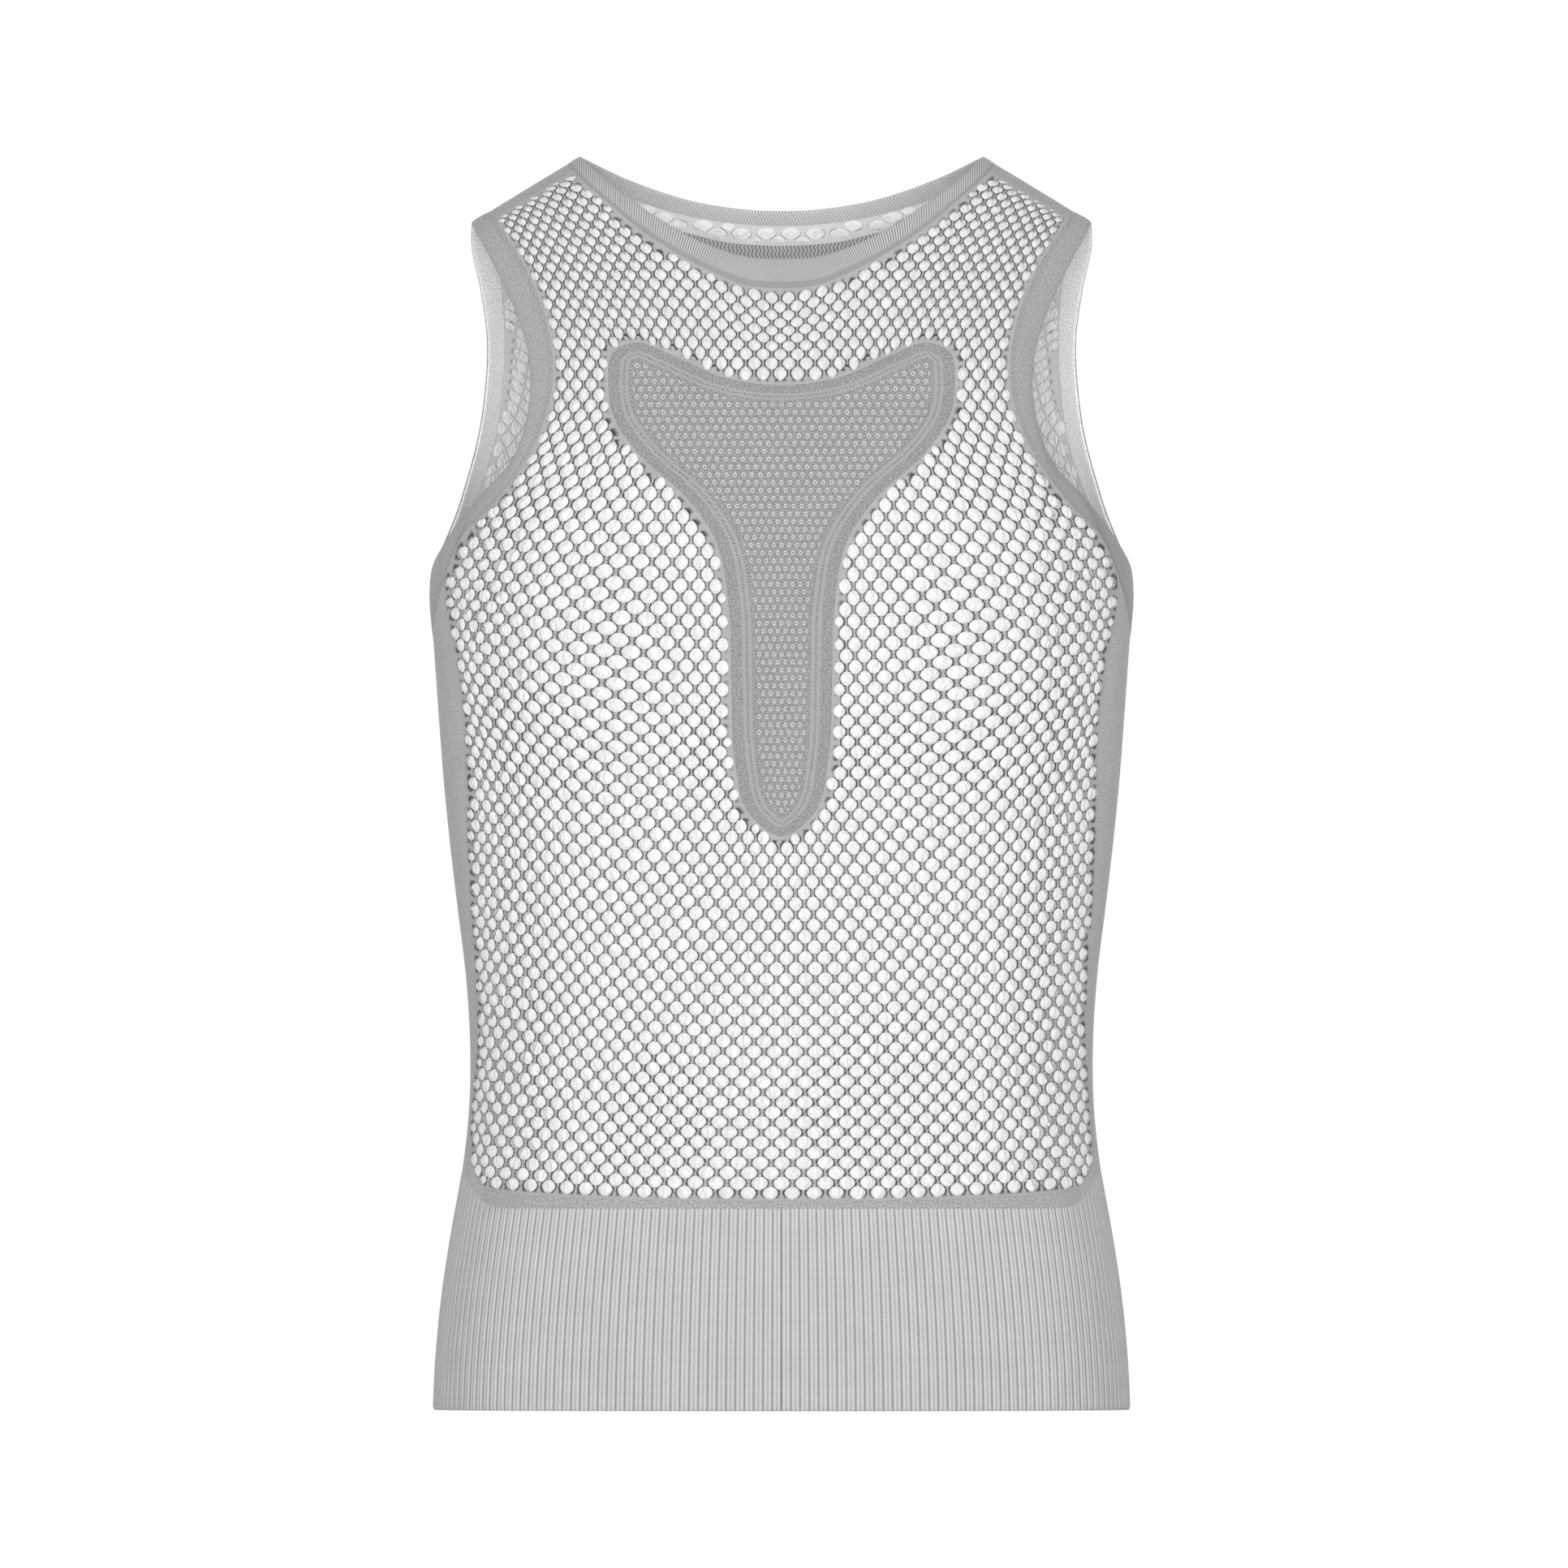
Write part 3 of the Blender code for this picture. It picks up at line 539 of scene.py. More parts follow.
def fill(loops, extra, holes=NO_HOLES):
    """Triangles over the region inside the first loop and outside the others and the holes.

    loops are lists of places, extra the free points inside and holes one array (hole, corner, 2).
    Returns the points, the triangles and the edges: indices for each loop, and then one array
    for the holes, if there are any.
    """
    parts = list(loops) + [holes.reshape(-1, 2), extra]
    spots = np.concatenate(parts)
    owner = np.full(len(spots), -1)
    chords, rings, at = [], [], 0
    for order, loop in enumerate(loops):
        ring = np.arange(at, at + len(loop))
        owner[ring] = order
        chords.append(np.stack([ring, np.roll(ring, -1)], axis=1))
        rings.append(ring)
        at += len(loop)
    corners = at + np.arange(holes.shape[0] * holes.shape[1]).reshape(holes.shape[:2])
    owner[corners] = len(loops) + np.arange(len(holes))[:, None]
    chords.append(np.stack([corners, np.roll(corners, -1, axis=1)], axis=2).reshape(-1, 2))
    flat = spots * (WIDE, 1)
    chords = np.concatenate(chords).tolist()
    result = delaunay_2d_cdt(flat.tolist(), chords, [], 1, TOO_CLOSE, False)
    if len(result[0]) != len(spots):
        raise ValueError(f"{len(spots)} points became {len(result[0])}")
    triangles = np.array(result[2])
    owners = owner[triangles]
    same = (owners == owners[:, :1]).all(axis=1) & (owners[:, 0] >= 0)
    drop = same & (owners[:, 0] >= len(loops))
    for order in range(len(loops)):
        own = np.flatnonzero(same & (owners[:, 0] == order))
        within = inside(flat[triangles[own]].mean(axis=1), loops[order] * (WIDE, 1))
        drop[own] = within != (order == 0)
    edges = [rings[0]] + [ring[::-1] for ring in rings[1:]]
    if len(holes):
        edges.append(corners[:, ::-1])
    return spots, triangles[~drop], edges


def staggered(loops, spacing):
    """Places of a staggered grid inside the region, kept clear of its edges."""
    low, high = loops[0].min(axis=0) * (WIDE, 1), loops[0].max(axis=0) * (WIDE, 1)
    columns = np.arange(low[0] - spacing, high[0] + spacing, spacing)
    rows = np.arange(low[1], high[1], spacing * GRID_ROWS)
    x, z = np.meshgrid(columns, rows)
    x = x + (np.arange(len(rows)) % 2)[:, None] * spacing / 2
    grid = np.stack([x.ravel() / WIDE, z.ravel()], axis=1)
    return grid[room(grid, loops) > GRID_CLEAR * spacing]


def cloth_map(spots):
    """UV map of a region in metres of cloth: around times WIDE, and height."""
    return spots * (WIDE, 1)


# %% Bands filled with a grid
def band_wall(name, lower, upper, across, outer, inner, material, sewn=False):
    """Wall between two edges of equal count: rows at the shares across from lower to upper.

    outer and inner are heights in mm per row, or per row and column. The UV map holds the length
    along the band from its middle and the distance from its lower edge, in metres; a second one
    holds across and height. A sewn wall meets another piece along its upper edge too.
    """
    across = np.asarray(across, float)
    rows, length = len(across), len(lower)
    spots = lower + (upper - lower) * across[:, None, None]
    solid = surface(spots[..., 0].ravel(), spots[..., 1].ravel()).reshape(rows, length, 3)
    along = run_along(solid[rows // 2])
    along = along - along[-1] / 2
    up = run_along(solid)
    uv = np.stack([np.broadcast_to(along, up.shape), up], axis=-1).reshape(-1, 2)
    index = np.arange(rows * length).reshape(rows, length)
    triangles = quads(index[:-1, :-1], index[:-1, 1:], index[1:, 1:], index[1:, :-1])
    loop = np.concatenate([index[0], index[1:, -1], index[-1, -2::-1], index[-2:0:-1, 0]])
    outer = np.broadcast_to(np.reshape(outer, (rows, -1)), (rows, length)).ravel()
    inner = np.broadcast_to(np.reshape(inner, (rows, -1)), (rows, length)).ravel()
    extra = {"share": np.repeat(across, length)}
    maps = {"cloth": uv, "seen": solid[..., [0, 2]].reshape(-1, 2)}
    seams = [index[0], index[:-1, 0], index[:-1, -1]] + ([index[-1]] if sewn else [])
    return cloth_wall(name, spots.reshape(-1, 2), triangles, [loop], outer, inner, material,
                      maps, extra, seams, cut=(float(np.ptp(along)), float(up.max())))


# %% [markdown]
# ## Finishes
#
# All of the yarn is one pale grey; what differs is the stitch. Some of the colour is painted light
# and shade: the dark lines and rims round the cells, their shaded folds, the gutters of the ribs
# and the paler inner faces. Image textures would be quick but are fixed in scale, so each stitch is
# a small formula in shader nodes: it reads the piece's own UV map, which is in metres of cloth, and
# makes both the colour and the bump. A formula is hard to read when each Math node is written out,
# so a Number adds them itself: with it, tone * 2 + grain makes a node that multiplies and one that
# adds.

# %% Numbers in a material
def node(tree, kind, *inputs, output=0, **settings):
    """A node of this kind, with settings by name and inputs by place; returns one output."""
    made = tree.nodes.new(kind)
    for key, value in settings.items():
        setattr(made, key, value)
    for socket, value in zip(made.inputs, inputs):
        if isinstance(value, Number):
            feed(value, socket)
        elif value is not None:
            socket.default_value = value
    return Number(tree, made.outputs[output])


def feed(value, socket):
    """Link a number to a socket."""
    value.tree.links.new(value.socket, socket)


class Number:
    """An output of a node; + - * / and abs() on it add Math nodes."""

    def __init__(self, tree, socket):
        self.tree, self.socket = tree, socket

    def maths(self, operation, *others):
        """The result of a Math node that starts with this number."""
        return node(self.tree, "ShaderNodeMath", self, *others, operation=operation)

    def __add__(self, other):
        return self.maths("ADD", other)

    def __sub__(self, other):
        return self.maths("SUBTRACT", other)

    def __rsub__(self, other):
        return self * -1.0 + other

    def __mul__(self, other):
        return self.maths("MULTIPLY", other)

    def __truediv__(self, other):
        return self.maths("DIVIDE", other)

    def __abs__(self):
        return self.maths("ABSOLUTE")


# %% What a finish reads and how it mixes
def share_of(tree, name):
    """A single number that the piece keeps for each of its points."""
    return node(tree, "ShaderNodeAttribute", attribute_name=name, output=2)


def coordinates(tree, name):
    """The two numbers of the UV map, and the map itself."""
    uv = node(tree, "ShaderNodeUVMap", uv_map=name)
    split = tree.nodes.new("ShaderNodeSeparateXYZ")
    feed(uv, split.inputs[0])
    return Number(tree, split.outputs[0]), Number(tree, split.outputs[1]), uv


def stretch(value, low, high, start, end, kind="LINEAR"):
    """Value between low and high, carried over to the range from start to end."""
    return node(value.tree, "ShaderNodeMapRange", value, low, high, start, end,
                interpolation_type=kind)


def ramp(value, low, high, start=0.0, end=1.0):
    """Smooth step of value between low and high, from start to end."""
    return stretch(value, low, high, start, end, "SMOOTHSTEP")


def blend(share, first, second):
    """Mix of two numbers: first where share is 0, second where it is 1."""
    return stretch(share, 0.0, 1.0, first, second)


def cloud(vector, scale, detail=2.0, rough=0.5):
    """Soft noise round 0.5, at a size of one over scale."""
    return node(vector.tree, "ShaderNodeTexNoise", vector, None, scale, detail, rough)


def wave(value, pitch):
    """Cosine of value with this pitch, from -1 to 1."""
    return (value * (2 * math.pi / pitch)).maths("COSINE")


def stitches(u, v, wale, course):
    """Knit grain from -1 to 1: columns of V stitches, each V a fold of the row's wave."""
    half = u.maths("PINGPONG", wale / 2)
    rows = wave(v + half * (0.9 * course / wale), course)
    return rows * 0.5 - wave(u, wale) * 0.5


GRIT = (0.1, 1.9)            # factors of the tone at the ends of the grain's noise
GRAIN = 1100.0               # scale of that noise: one over its size in metres
CLOUDS = 70.0                # scale of the soft clouds in which yarn varies
NOISE = (0.3, 0.7)           # the range in which most of a noise lies


def grain_noise(uv):
    """Noise as fine as the yarn's fibres."""
    return cloud(uv, GRAIN, 2.0, 0.6)


def varied(tone, uv, amount=0.03):
    """tone times 1 plus or minus amount, in soft clouds: yarn is never dyed quite evenly."""
    return tone * stretch(cloud(uv, CLOUDS), *NOISE, 1 - amount, 1 + amount)


def lined(tone, inner):
    """tone on the outer face and inner on the inner one; they meet on the rim between them. Most
    inner tones are paler: painted light against the shade inside.
    """
    return blend(ramp(share_of(tone.tree, "inside"), 0.6, 0.9), tone, inner)


GLOSS = {                    # the same dull gloss on every knit
    "Roughness": 0.85, "Specular IOR Level": 0.25, "Sheen Weight": 0.15, "Sheen Roughness": 0.5,
}


def new_finish(name):
    """An empty node material."""
    material = bpy.data.materials.new(name)
    material.use_nodes = True
    return material, material.node_tree


def finish_knit(material, tone, height, depth):
    """Grey colour from tone, and bump from height, which counts in units of depth metres."""
    tree = material.node_tree
    shader = tree.nodes["Principled BSDF"]
    feed(node(tree, "ShaderNodeCombineColor", tone, tone, tone), shader.inputs["Base Color"])
    bump = tree.nodes.new("ShaderNodeBump")
    bump.inputs["Strength"].default_value = 1.0
    bump.inputs["Distance"].default_value = depth
    feed(height, bump.inputs["Height"])
    tree.links.new(bump.outputs[0], shader.inputs["Normal"])
    for key, value in GLOSS.items():
        shader.inputs[key].default_value = value
    return material


# %% Threads and ground of the net
KNOT_TONE, KNOT_INNER_PAINTED_LIGHT = 0.36, 0.74   # greys run from 0, black, to 1, white; the inner grey is paler, painted light against the shade inside
LINE_SHADE_TONE, LINE_INNER_SHADE = 0.05, 0.36   # painted shade: the dark line along a cell where the thread drops to it, outside and inside
CELL_CRUMPLE_SHADE_TONES = (0.68, 0.81)            # darkest and palest grey of a cell: its near-white, with painted shade that follows the crumples
# painted light: the inner face of a cell is paler, against the shade inside
CELL_INNER_PAINTED_LIGHT = 0.90
RIM_FROM, RIM_SHADE_TONE = (0.28, 0.1), (0.19, 0.14)   # painted shade round a cell where it dips: where it starts and its grey, upright and leaning
CREASES, CRUMPLES, BOWS = 330.0, 900.0, 160.0    # scales of three noises, one over their size


def thread_finish():
    """Grey knots, with a dark line of painted shade along both sides of each cell but not over or
    under it.
    """
    material, tree = new_finish("net_threads")
    u, v, uv = coordinates(tree, "cloth")
    line = share_of(tree, "line")
    # painted shade: the threads go dark along the sides of the cells
    outer = blend(ramp(line, 0.15, 0.75), KNOT_TONE, LINE_SHADE_TONE)
    inner = blend(ramp(line, 0.6, 1.0), KNOT_INNER_PAINTED_LIGHT, LINE_INNER_SHADE)
    tone = stretch(share_of(tree, "inside"), 0.12, 0.4, outer, inner)
    grain = stitches(u, v, 1.1 * MM, 0.9 * MM)
    tone = tone * (grain * 0.07 + 1.0)
    return finish_knit(material, varied(tone, uv, 0.04), grain, 0.08 * MM)


def ground_finish():
    """Near-white cell filling with a dark rim of painted shade, where it dips between the threads.

    It is crumpled, with painted shade that follows the crumples: upright creases, painted darker,
    lie where a stretched noise passes its mean. In leaning cells one bowed fold parts the crown from
    a flank in painted shade on the outward side, and the whole cell is painted darker. The cells are
    painted darker towards the top too, and below the shoulders a painted shadow, a dark wedge, opens
    at the top of each cell.
    """
    material, tree = new_finish("net_ground")
    u, v, uv = coordinates(tree, "cloth")
    out, up, _ = coordinates(tree, "cell")
    lean, high = share_of(tree, "lean"), share_of(tree, "high")
    tilted = lean.maths("MAXIMUM", high)
    upright = node(tree, "ShaderNodeCombineXYZ", u, v * 0.4)
    crease = abs(cloud(upright, CREASES, 1.0) - 0.5)
    crumple = cloud(uv, CRUMPLES, 3.0, 0.6)
    # the cell's near-white; painted shade follows the crumples and darkens the creases
    tone = stretch(crumple, *NOISE, *CELL_CRUMPLE_SHADE_TONES) * ramp(crease, 0.0, 0.035, 0.86, 1.0)
    # painted shade of a fold: a dark line along it and a shaded outward flank
    fold = up * up * 0.35 + out - (cloud(uv, BOWS, 0.0) * 1.6 - 0.55)
    flank = ramp(fold, -0.02, 0.1, 0.0, 0.3)
    shaded = ramp(abs(fold), 0.16, 0.03, 0.0, 0.65).maths("MAXIMUM", flank)
    # painted shade: the fold and flank, stronger in leaning cells, which are darker all over
    tone = tone * (1.0 - shaded * blend(lean, 0.2, 1.0)) * blend(lean, 1.0, 0.93)
    # painted shade: darker towards the top
    tone = tone * ramp(v, -0.2, -0.1, 1.0, 0.9)
    # painted shadow: a dark wedge at the top of each cell below the shoulders
    wedge = ramp(up, 0.3, 0.85) * high * ramp(abs(out), 0.4, 0.1, 0.0, 0.6)
    # painted shade in the groove round each cell
    rim = ramp(share_of(tree, "rim"), blend(tilted, *RIM_FROM), 0.9)
    tone = blend(rim, tone * (1.0 - wedge), blend(tilted, *RIM_SHADE_TONE))
    height = crumple * 0.5 - crease * 5.0
    return finish_knit(material, lined(tone, CELL_INNER_PAINTED_LIGHT), height, 0.5 * MM)


# %% Plain knit and dense zones
INNER_PAINTED_LIGHT = 0.90            # painted light: the inner faces are paler all over, against the shade inside
# painted highlight on an eyelet's raised ring, painted shade in its sunken middle
ZONE_TONE, RING_HIGHLIGHT_TONE, EYELET_SHADE_TONE, STITCHED_TONE = 0.262, 0.60, 0.16, 0.325
LINE_INSET = (5.0, 7.2)      # mm from a zone's edge to its two border lines
LINE_HALF = 0.62
DOTS_FROM = 10.0             # mm from the edge where the eyelets start


def plain_finish(name, base, wale=1.3, course=1.1, contrast=0.06):
    """Plain jersey: columns of V stitches, wale mm wide and course mm high, a touch uneven."""
    material, tree = new_finish(name)
    u, v, uv = coordinates(tree, "cloth")
    grain = stitches(u, v, wale * MM, course * MM)
    grit = grain_noise(uv)
    tone = lined(grain * (contrast * base) + base, INNER_PAINTED_LIGHT) * blend(grit, *GRIT)
    return finish_knit(material, varied(tone, uv), grain + grit, 0.1 * MM)


def staggered_distance(u, v, half_u, half_v):
    """Distance from the nearest site of a staggered lattice, 1 at the half sizes.

    Sites lie at whole u and v whose sum is even. In p = (u + v) / 2 and q = (u - v) / 2 they are
    all whole pairs, so rounding p and q finds the nearest one.
    """
    p, q = (u + v) * 0.5, (u - v) * 0.5
    p = p - p.maths("ROUND")
    q = q - q.maths("ROUND")
    du, dv = (p + q) / half_u, (p - q) / half_v
    return (du * du + dv * dv).maths("SQRT")


def zone_finish():
    """Dense knit with a ring of painted highlight round each small eyelet, painted shade in its
    middle, and two stitched lines.
    """
    material, tree = new_finish("dense_zone_knit")
    u, v, uv = coordinates(tree, "cloth")
    du, dv, _ = coordinates(tree, "eyelets")
    edge = share_of(tree, "edge")
    far = staggered_distance(du, dv, 0.42, 0.27)
    field = ramp(edge, DOTS_FROM - 0.6, DOTS_FROM - 0.4)
    grain = stitches(u, v, 1.3 * MM, 1.0 * MM)
    tone = (grain * 0.02 + ZONE_TONE) * blend(grain_noise(uv), *GRIT)
    # painted highlight on the raised ring, painted shade in the sunken middle
    tone = blend(ramp(far, 1.15, 0.95) * field, tone, RING_HIGHLIGHT_TONE)
    tone = blend(ramp(far, 0.62, 0.45) * field, tone, EYELET_SHADE_TONE)
    slant = wave(u + v, 1.5 * MM)
    for middle in LINE_INSET:
        line = ramp(abs(edge - middle), LINE_HALF + 0.15, LINE_HALF - 0.15)
        tone = blend(line, tone, slant * 0.09 + STITCHED_TONE)
    loops = wave(wave(v, 3.6 * MM) * (0.3 * MM) + u, 1.4 * MM)
    # painted light: the inner face is paler, with its loops
    tone = lined(tone, loops * 0.2 + 0.42)
    return finish_knit(material, varied(tone, uv), grain * 0.6 + slant, 0.06 * MM)


# %% Bands and ribs
NECK_RIB = 1.15              # pitch of the neck band's ribs, mm
LEAN_FADE = 0.045            # metres from the centre line over which their lean fades
CROSS_TO = 0.018             # metres past the centre line where the ribs of one half end
CROSS_FROM = 0.010           # metres before it where they start to fade
# the inner tone of the neck band is paler: painted light against the shade inside
NECK_TONE, NECK_INNER_PAINTED_LIGHT, ARM_TONE = 0.275, 0.50, 0.30
# painted shade in the gutters and at the sides, painted highlight on the crests
RIB_TONE, GUTTER_SHADE_TONE, RIB_SIDE_SHADE = 0.47, 0.27, 0.84


def neck_finish():
    """Fine upright ribs that lean over and cross in the middle; a plain darker border.

    A rib is a line where x - lean * height is constant; the lean fades away from the centre line.
    The ribs of the other half lean the other way.
    """
    material, tree = new_finish("neck_rib")
    u, v, uv = coordinates(tree, "cloth")
    x, z, _ = coordinates(tree, "seen")
    near = x / LEAN_FADE
    lean = (near * near * -1.0).maths("EXPONENT") * (z * 0.8 + 0.05)
    first = wave(x - lean, NECK_RIB * MM) * ramp(x, CROSS_TO, -CROSS_FROM)
    second = wave(x + lean, NECK_RIB * MM) * ramp(x, -CROSS_TO, CROSS_FROM)
    ribs, courses = first + second, wave(v, 1.2 * MM)
    field = ramp(share_of(tree, "share"), 0.2, 0.26)
    tone = ribs * field * 0.16 + NECK_TONE + courses * 0.012 + field * 0.07
    twill = wave(v * 0.8 + u, 1.6 * MM)
    tone = lined(tone, twill * courses * 0.32 + NECK_INNER_PAINTED_LIGHT)
    return finish_knit(material, varied(tone, uv), courses * 0.5 + ribs, 0.05 * MM)


def arm_finish():
    """Close double knit with a slight twill, and a darker border by the net."""
    material, tree = new_finish("arm_band_knit")
    u, v, uv = coordinates(tree, "cloth")
    twill, courses = wave(v * 0.7 + u, 1.3 * MM), wave(v, 1.1 * MM)
    field = ramp(share_of(tree, "share"), 0.16, 0.24)
    tone = lined(twill * 0.03 + ARM_TONE + field * 0.025, INNER_PAINTED_LIGHT)
    tone = tone * blend(grain_noise(uv), *GRIT)
    return finish_knit(material, varied(tone, uv), courses * 0.6 + twill, 0.06 * MM)


def rib_finish():
    """Two stitch columns, lighter on their crests by painted highlight, between dark dotted gutters
    of painted shade; painted shade darkens them all over at the sides.
    """
    material, tree = new_finish("hem_ribs")
    rib, course, _ = coordinates(tree, "ribs")
    u, _, uv = coordinates(tree, "cloth")
    place = rib.maths("FRACT")
    columns = wave(place, 0.5)
    vees = wave(place.maths("PINGPONG", 0.25) * 1.6 + course, 1.0)
    # painted shade in the gutters, painted highlight on the column crests
    gutter = ramp(rib.maths("PINGPONG", 0.5), 0.13, 0.03)
    tone = columns * -0.08 + RIB_TONE + vees * 0.03
    tone = blend(gutter, tone, wave(course, 1.0) * 0.05 + GUTTER_SHADE_TONE)
    # painted shade: darker where the hem turns away at the sides
    side = abs((u / WIDE).maths("SINE"))
    tone = lined(tone * ramp(side, 0.7, 1.0, 1.0, RIB_SIDE_SHADE), RIB_TONE)
    return finish_knit(material, varied(tone, uv), vees * 0.5 - columns, 0.09 * MM)


net_threads, net_ground = thread_finish(), ground_finish()
side_knit = plain_finish("side_panel_knit", 0.385, wale=1.1, contrast=0.14)
border_knit = plain_finish("hem_border_knit", 0.335, wale=1.6, course=1.2, contrast=0.08)
shoulder_knit = plain_finish("shoulder_strip_knit", 0.33)
zone_knit, neck_knit, arm_knit, rib_knit = zone_finish(), neck_finish(), arm_finish(), rib_finish()
print("finishes:", [m.name for m in bpy.data.materials])

# %% [markdown]
# ## The honeycomb's lattice
#
# The net is knitted in staggered columns of cells, about 35 across the front. Worn, they spread
# over the chest, close up beside the armholes and bow upwards at the sides. A flat repeat wrapped
# round the body would lose that, so the lattice has a small table of its own: how far from the
# centre line its columns lie at eight rows, and how high each row hangs.

# %% Where a place of the lattice lies
COLUMNS = (7, 15, 23, 31, 35)        # half columns from the centre line
LATTICE = (                          # row, height, rise at 100 mm across, and the columns' places
    (-4, -540.2, 2.5, (40, 82, 122, 157, 166)),
    (16, -433.1, 5.3, (36, 76, 114, 148, 160)),
    (32, -341.7, 4.5, (28, 68, 113, 148, 161)),
    (44, -275.4, 4.5, (26, 66, 120, 159, 171)),
    (56, -202.2, 1.7, (26, 61, 106, 147, 164)),
    (68, -131.0, 0.0, (31, 57, 84, 116, 130)),
    (80, -66.5, 0.0, (31, 66, 96, 125, 138)),
    (92, -12.0, 0.0, (38, 80, 115, 142, 154)),
)
LEAN = (                             # row, and how many half columns the lattice lies off centre
    (-8, 0.1), (8, -0.3), (24, -0.62), (40, -0.85), (72, -0.87), (104, -0.6),
)
LAST_COLUMN, FIRST_ROW, LAST_ROW = 46, -9, 101
JUST_INSIDE = 1e-6                   # keeps a place that is read off the far edge of the tables
RISE_AT = 0.1                        # metres across at which the table gives the rise
SHOULDER_SOFT = 17.0                 # mm over which the rows bend along the shoulder line
BACK_SPREAD, BACK_FROM, BACK_FULL = 0.33, -170.0, -60.0
NECK_DIP, DIP_HALF_WIDTH, DIP_ROWS = 8.0, 26.0, (71, 80)   # rows sag under the front of the neck


def carried_on(values, knots, to):
    """The line through the values at the last two knots, read at the place to."""
    return values[-1] + (values[-1] - values[-2]) / (knots[-1] - knots[-2]) * (to - knots[-1])


def lattice_tables():
    """Across and height of every whole column and row: cubic curves through the table's rows."""
    rows = np.arange(FIRST_ROW, LAST_ROW + 1)
    knots = np.array([row[0] for row in LATTICE], float)
    across = np.array([row[3] for row in LATTICE], float)
    last = carried_on(across.T, COLUMNS, LAST_COLUMN)
    across = np.concatenate([across, last[:, None]], axis=1)
    across = np.concatenate([-across[:, ::-1], np.zeros((len(knots), 1)), across], axis=1)
    rest = np.array([row[1:3] for row in LATTICE], float)
    both = np.concatenate([across, rest], axis=1)
    first = carried_on(both[::-1], knots[::-1], FIRST_ROW)
    final = carried_on(both, knots, LAST_ROW)
    first[-1], final[-1] = both[0, -1], both[-1, -1]
    knots = np.concatenate([[FIRST_ROW], knots, [LAST_ROW]])
    both = smooth(knots, np.concatenate([first[None], both, final[None]]), rows)
    columns = np.array(COLUMNS + (LAST_COLUMN,), float)
    columns = np.concatenate([-columns[::-1], [0], columns])
    whole = np.arange(-LAST_COLUMN, LAST_COLUMN + 1)
    return smooth(columns, both[:, :-2].T, whole).T * MM, both[:, -2] * MM, both[:, -1] * MM


ACROSS_TABLE, HEIGHT_TABLE, RISE_TABLE = lattice_tables()


def net_place(u, v, back=False):
    """Place of the lattice point (u, v): the tables read between their whole columns and rows."""
    shape = np.broadcast(u, v).shape
    v = np.broadcast_to(v, shape).ravel()
    lean = np.array(LEAN)
    u = np.broadcast_to(u, shape).ravel() - np.interp(v, lean[:, 0], lean[:, 1])
    v = np.clip(v - FIRST_ROW, 0, LAST_ROW - FIRST_ROW - JUST_INSIDE)
    u = np.clip(u + LAST_COLUMN, 0, 2 * LAST_COLUMN - JUST_INSIDE)
    i, j = v.astype(int), u.astype(int)
    s, t = v - i, u - j
    x = (ACROSS_TABLE[i, j] * (1 - s) + ACROSS_TABLE[i + 1, j] * s) * (1 - t)
    x = x + (ACROSS_TABLE[i, j + 1] * (1 - s) + ACROSS_TABLE[i + 1, j + 1] * s) * t
    low = HEIGHT_TABLE[i] * (1 - s) + HEIGHT_TABLE[i + 1] * s
    rise = RISE_TABLE[i] * (1 - s) + RISE_TABLE[i + 1] * s
    if back:
        x = x * (1 + BACK_SPREAD * eased(low / MM, BACK_FROM, BACK_FULL))
    else:
        near = eased(v + FIRST_ROW, *DIP_ROWS)
        low = low - NECK_DIP * MM * near * np.exp(-(x / MM / DIP_HALF_WIDTH) ** 2)
    z = low + rise * (x / RISE_AT) ** 2
    under = ridge(x) - z
    soft = SHOULDER_SOFT * MM
    z = ridge(x) - (under + np.sqrt(under ** 2 + soft ** 2)) / 2
    return np.stack([around_of(x, z), z], axis=-1).reshape(shape + (2,))


# %% Cells, fitted to the edges
CELL_HALF = (0.80, 0.70)     # half a cell in columns and rows
CELL_ROUNDNESS = 1.7         # exponent of its outline: 1 for a diamond, 2 for an ellipse
CELL_CORNERS = 12
EDGE_CLEAR = 0.35            # mm of knit between a cell and the edge of the net
SQUEEZES = (1.0, 0.94, 0.88, 0.82, 0.76, 0.7)
FAR_FROM_EDGE = 0.020        # metres from the edge past which every cell is whole


def cell_offsets(corners, scale=1.0, roundness=CELL_ROUNDNESS):
    """Corners of a cell about its middle, anticlockwise: cosine and sine raised to 2 over e."""
    turn = np.arange(corners) / corners * 2 * math.pi
    power = 2 / roundness
    du = np.sign(np.cos(turn)) * np.abs(np.cos(turn)) ** power
    dv = np.sign(np.sin(turn)) * np.abs(np.sin(turn)) ** power
    return scale * CELL_HALF[0] * du, scale * CELL_HALF[1] * dv


def lattice_sites(parity):
    """All lattice points (u, v) whose sum is even for parity 0, odd for 1."""
    columns = np.arange(-LAST_COLUMN + 2, LAST_COLUMN - 1)
    u, v = np.meshgrid(columns, np.arange(FIRST_ROW + 2, LAST_ROW - 1))
    keep = (u + v) % 2 == parity
    return np.stack([u[keep], v[keep]], axis=1).astype(float)


def squeezed(outlines, anchors, squeeze):
    """Outlines scaled by squeeze about their anchors."""
    return anchors[:, None] + (outlines - anchors[:, None]) * np.reshape(squeeze, (-1, 1, 1))


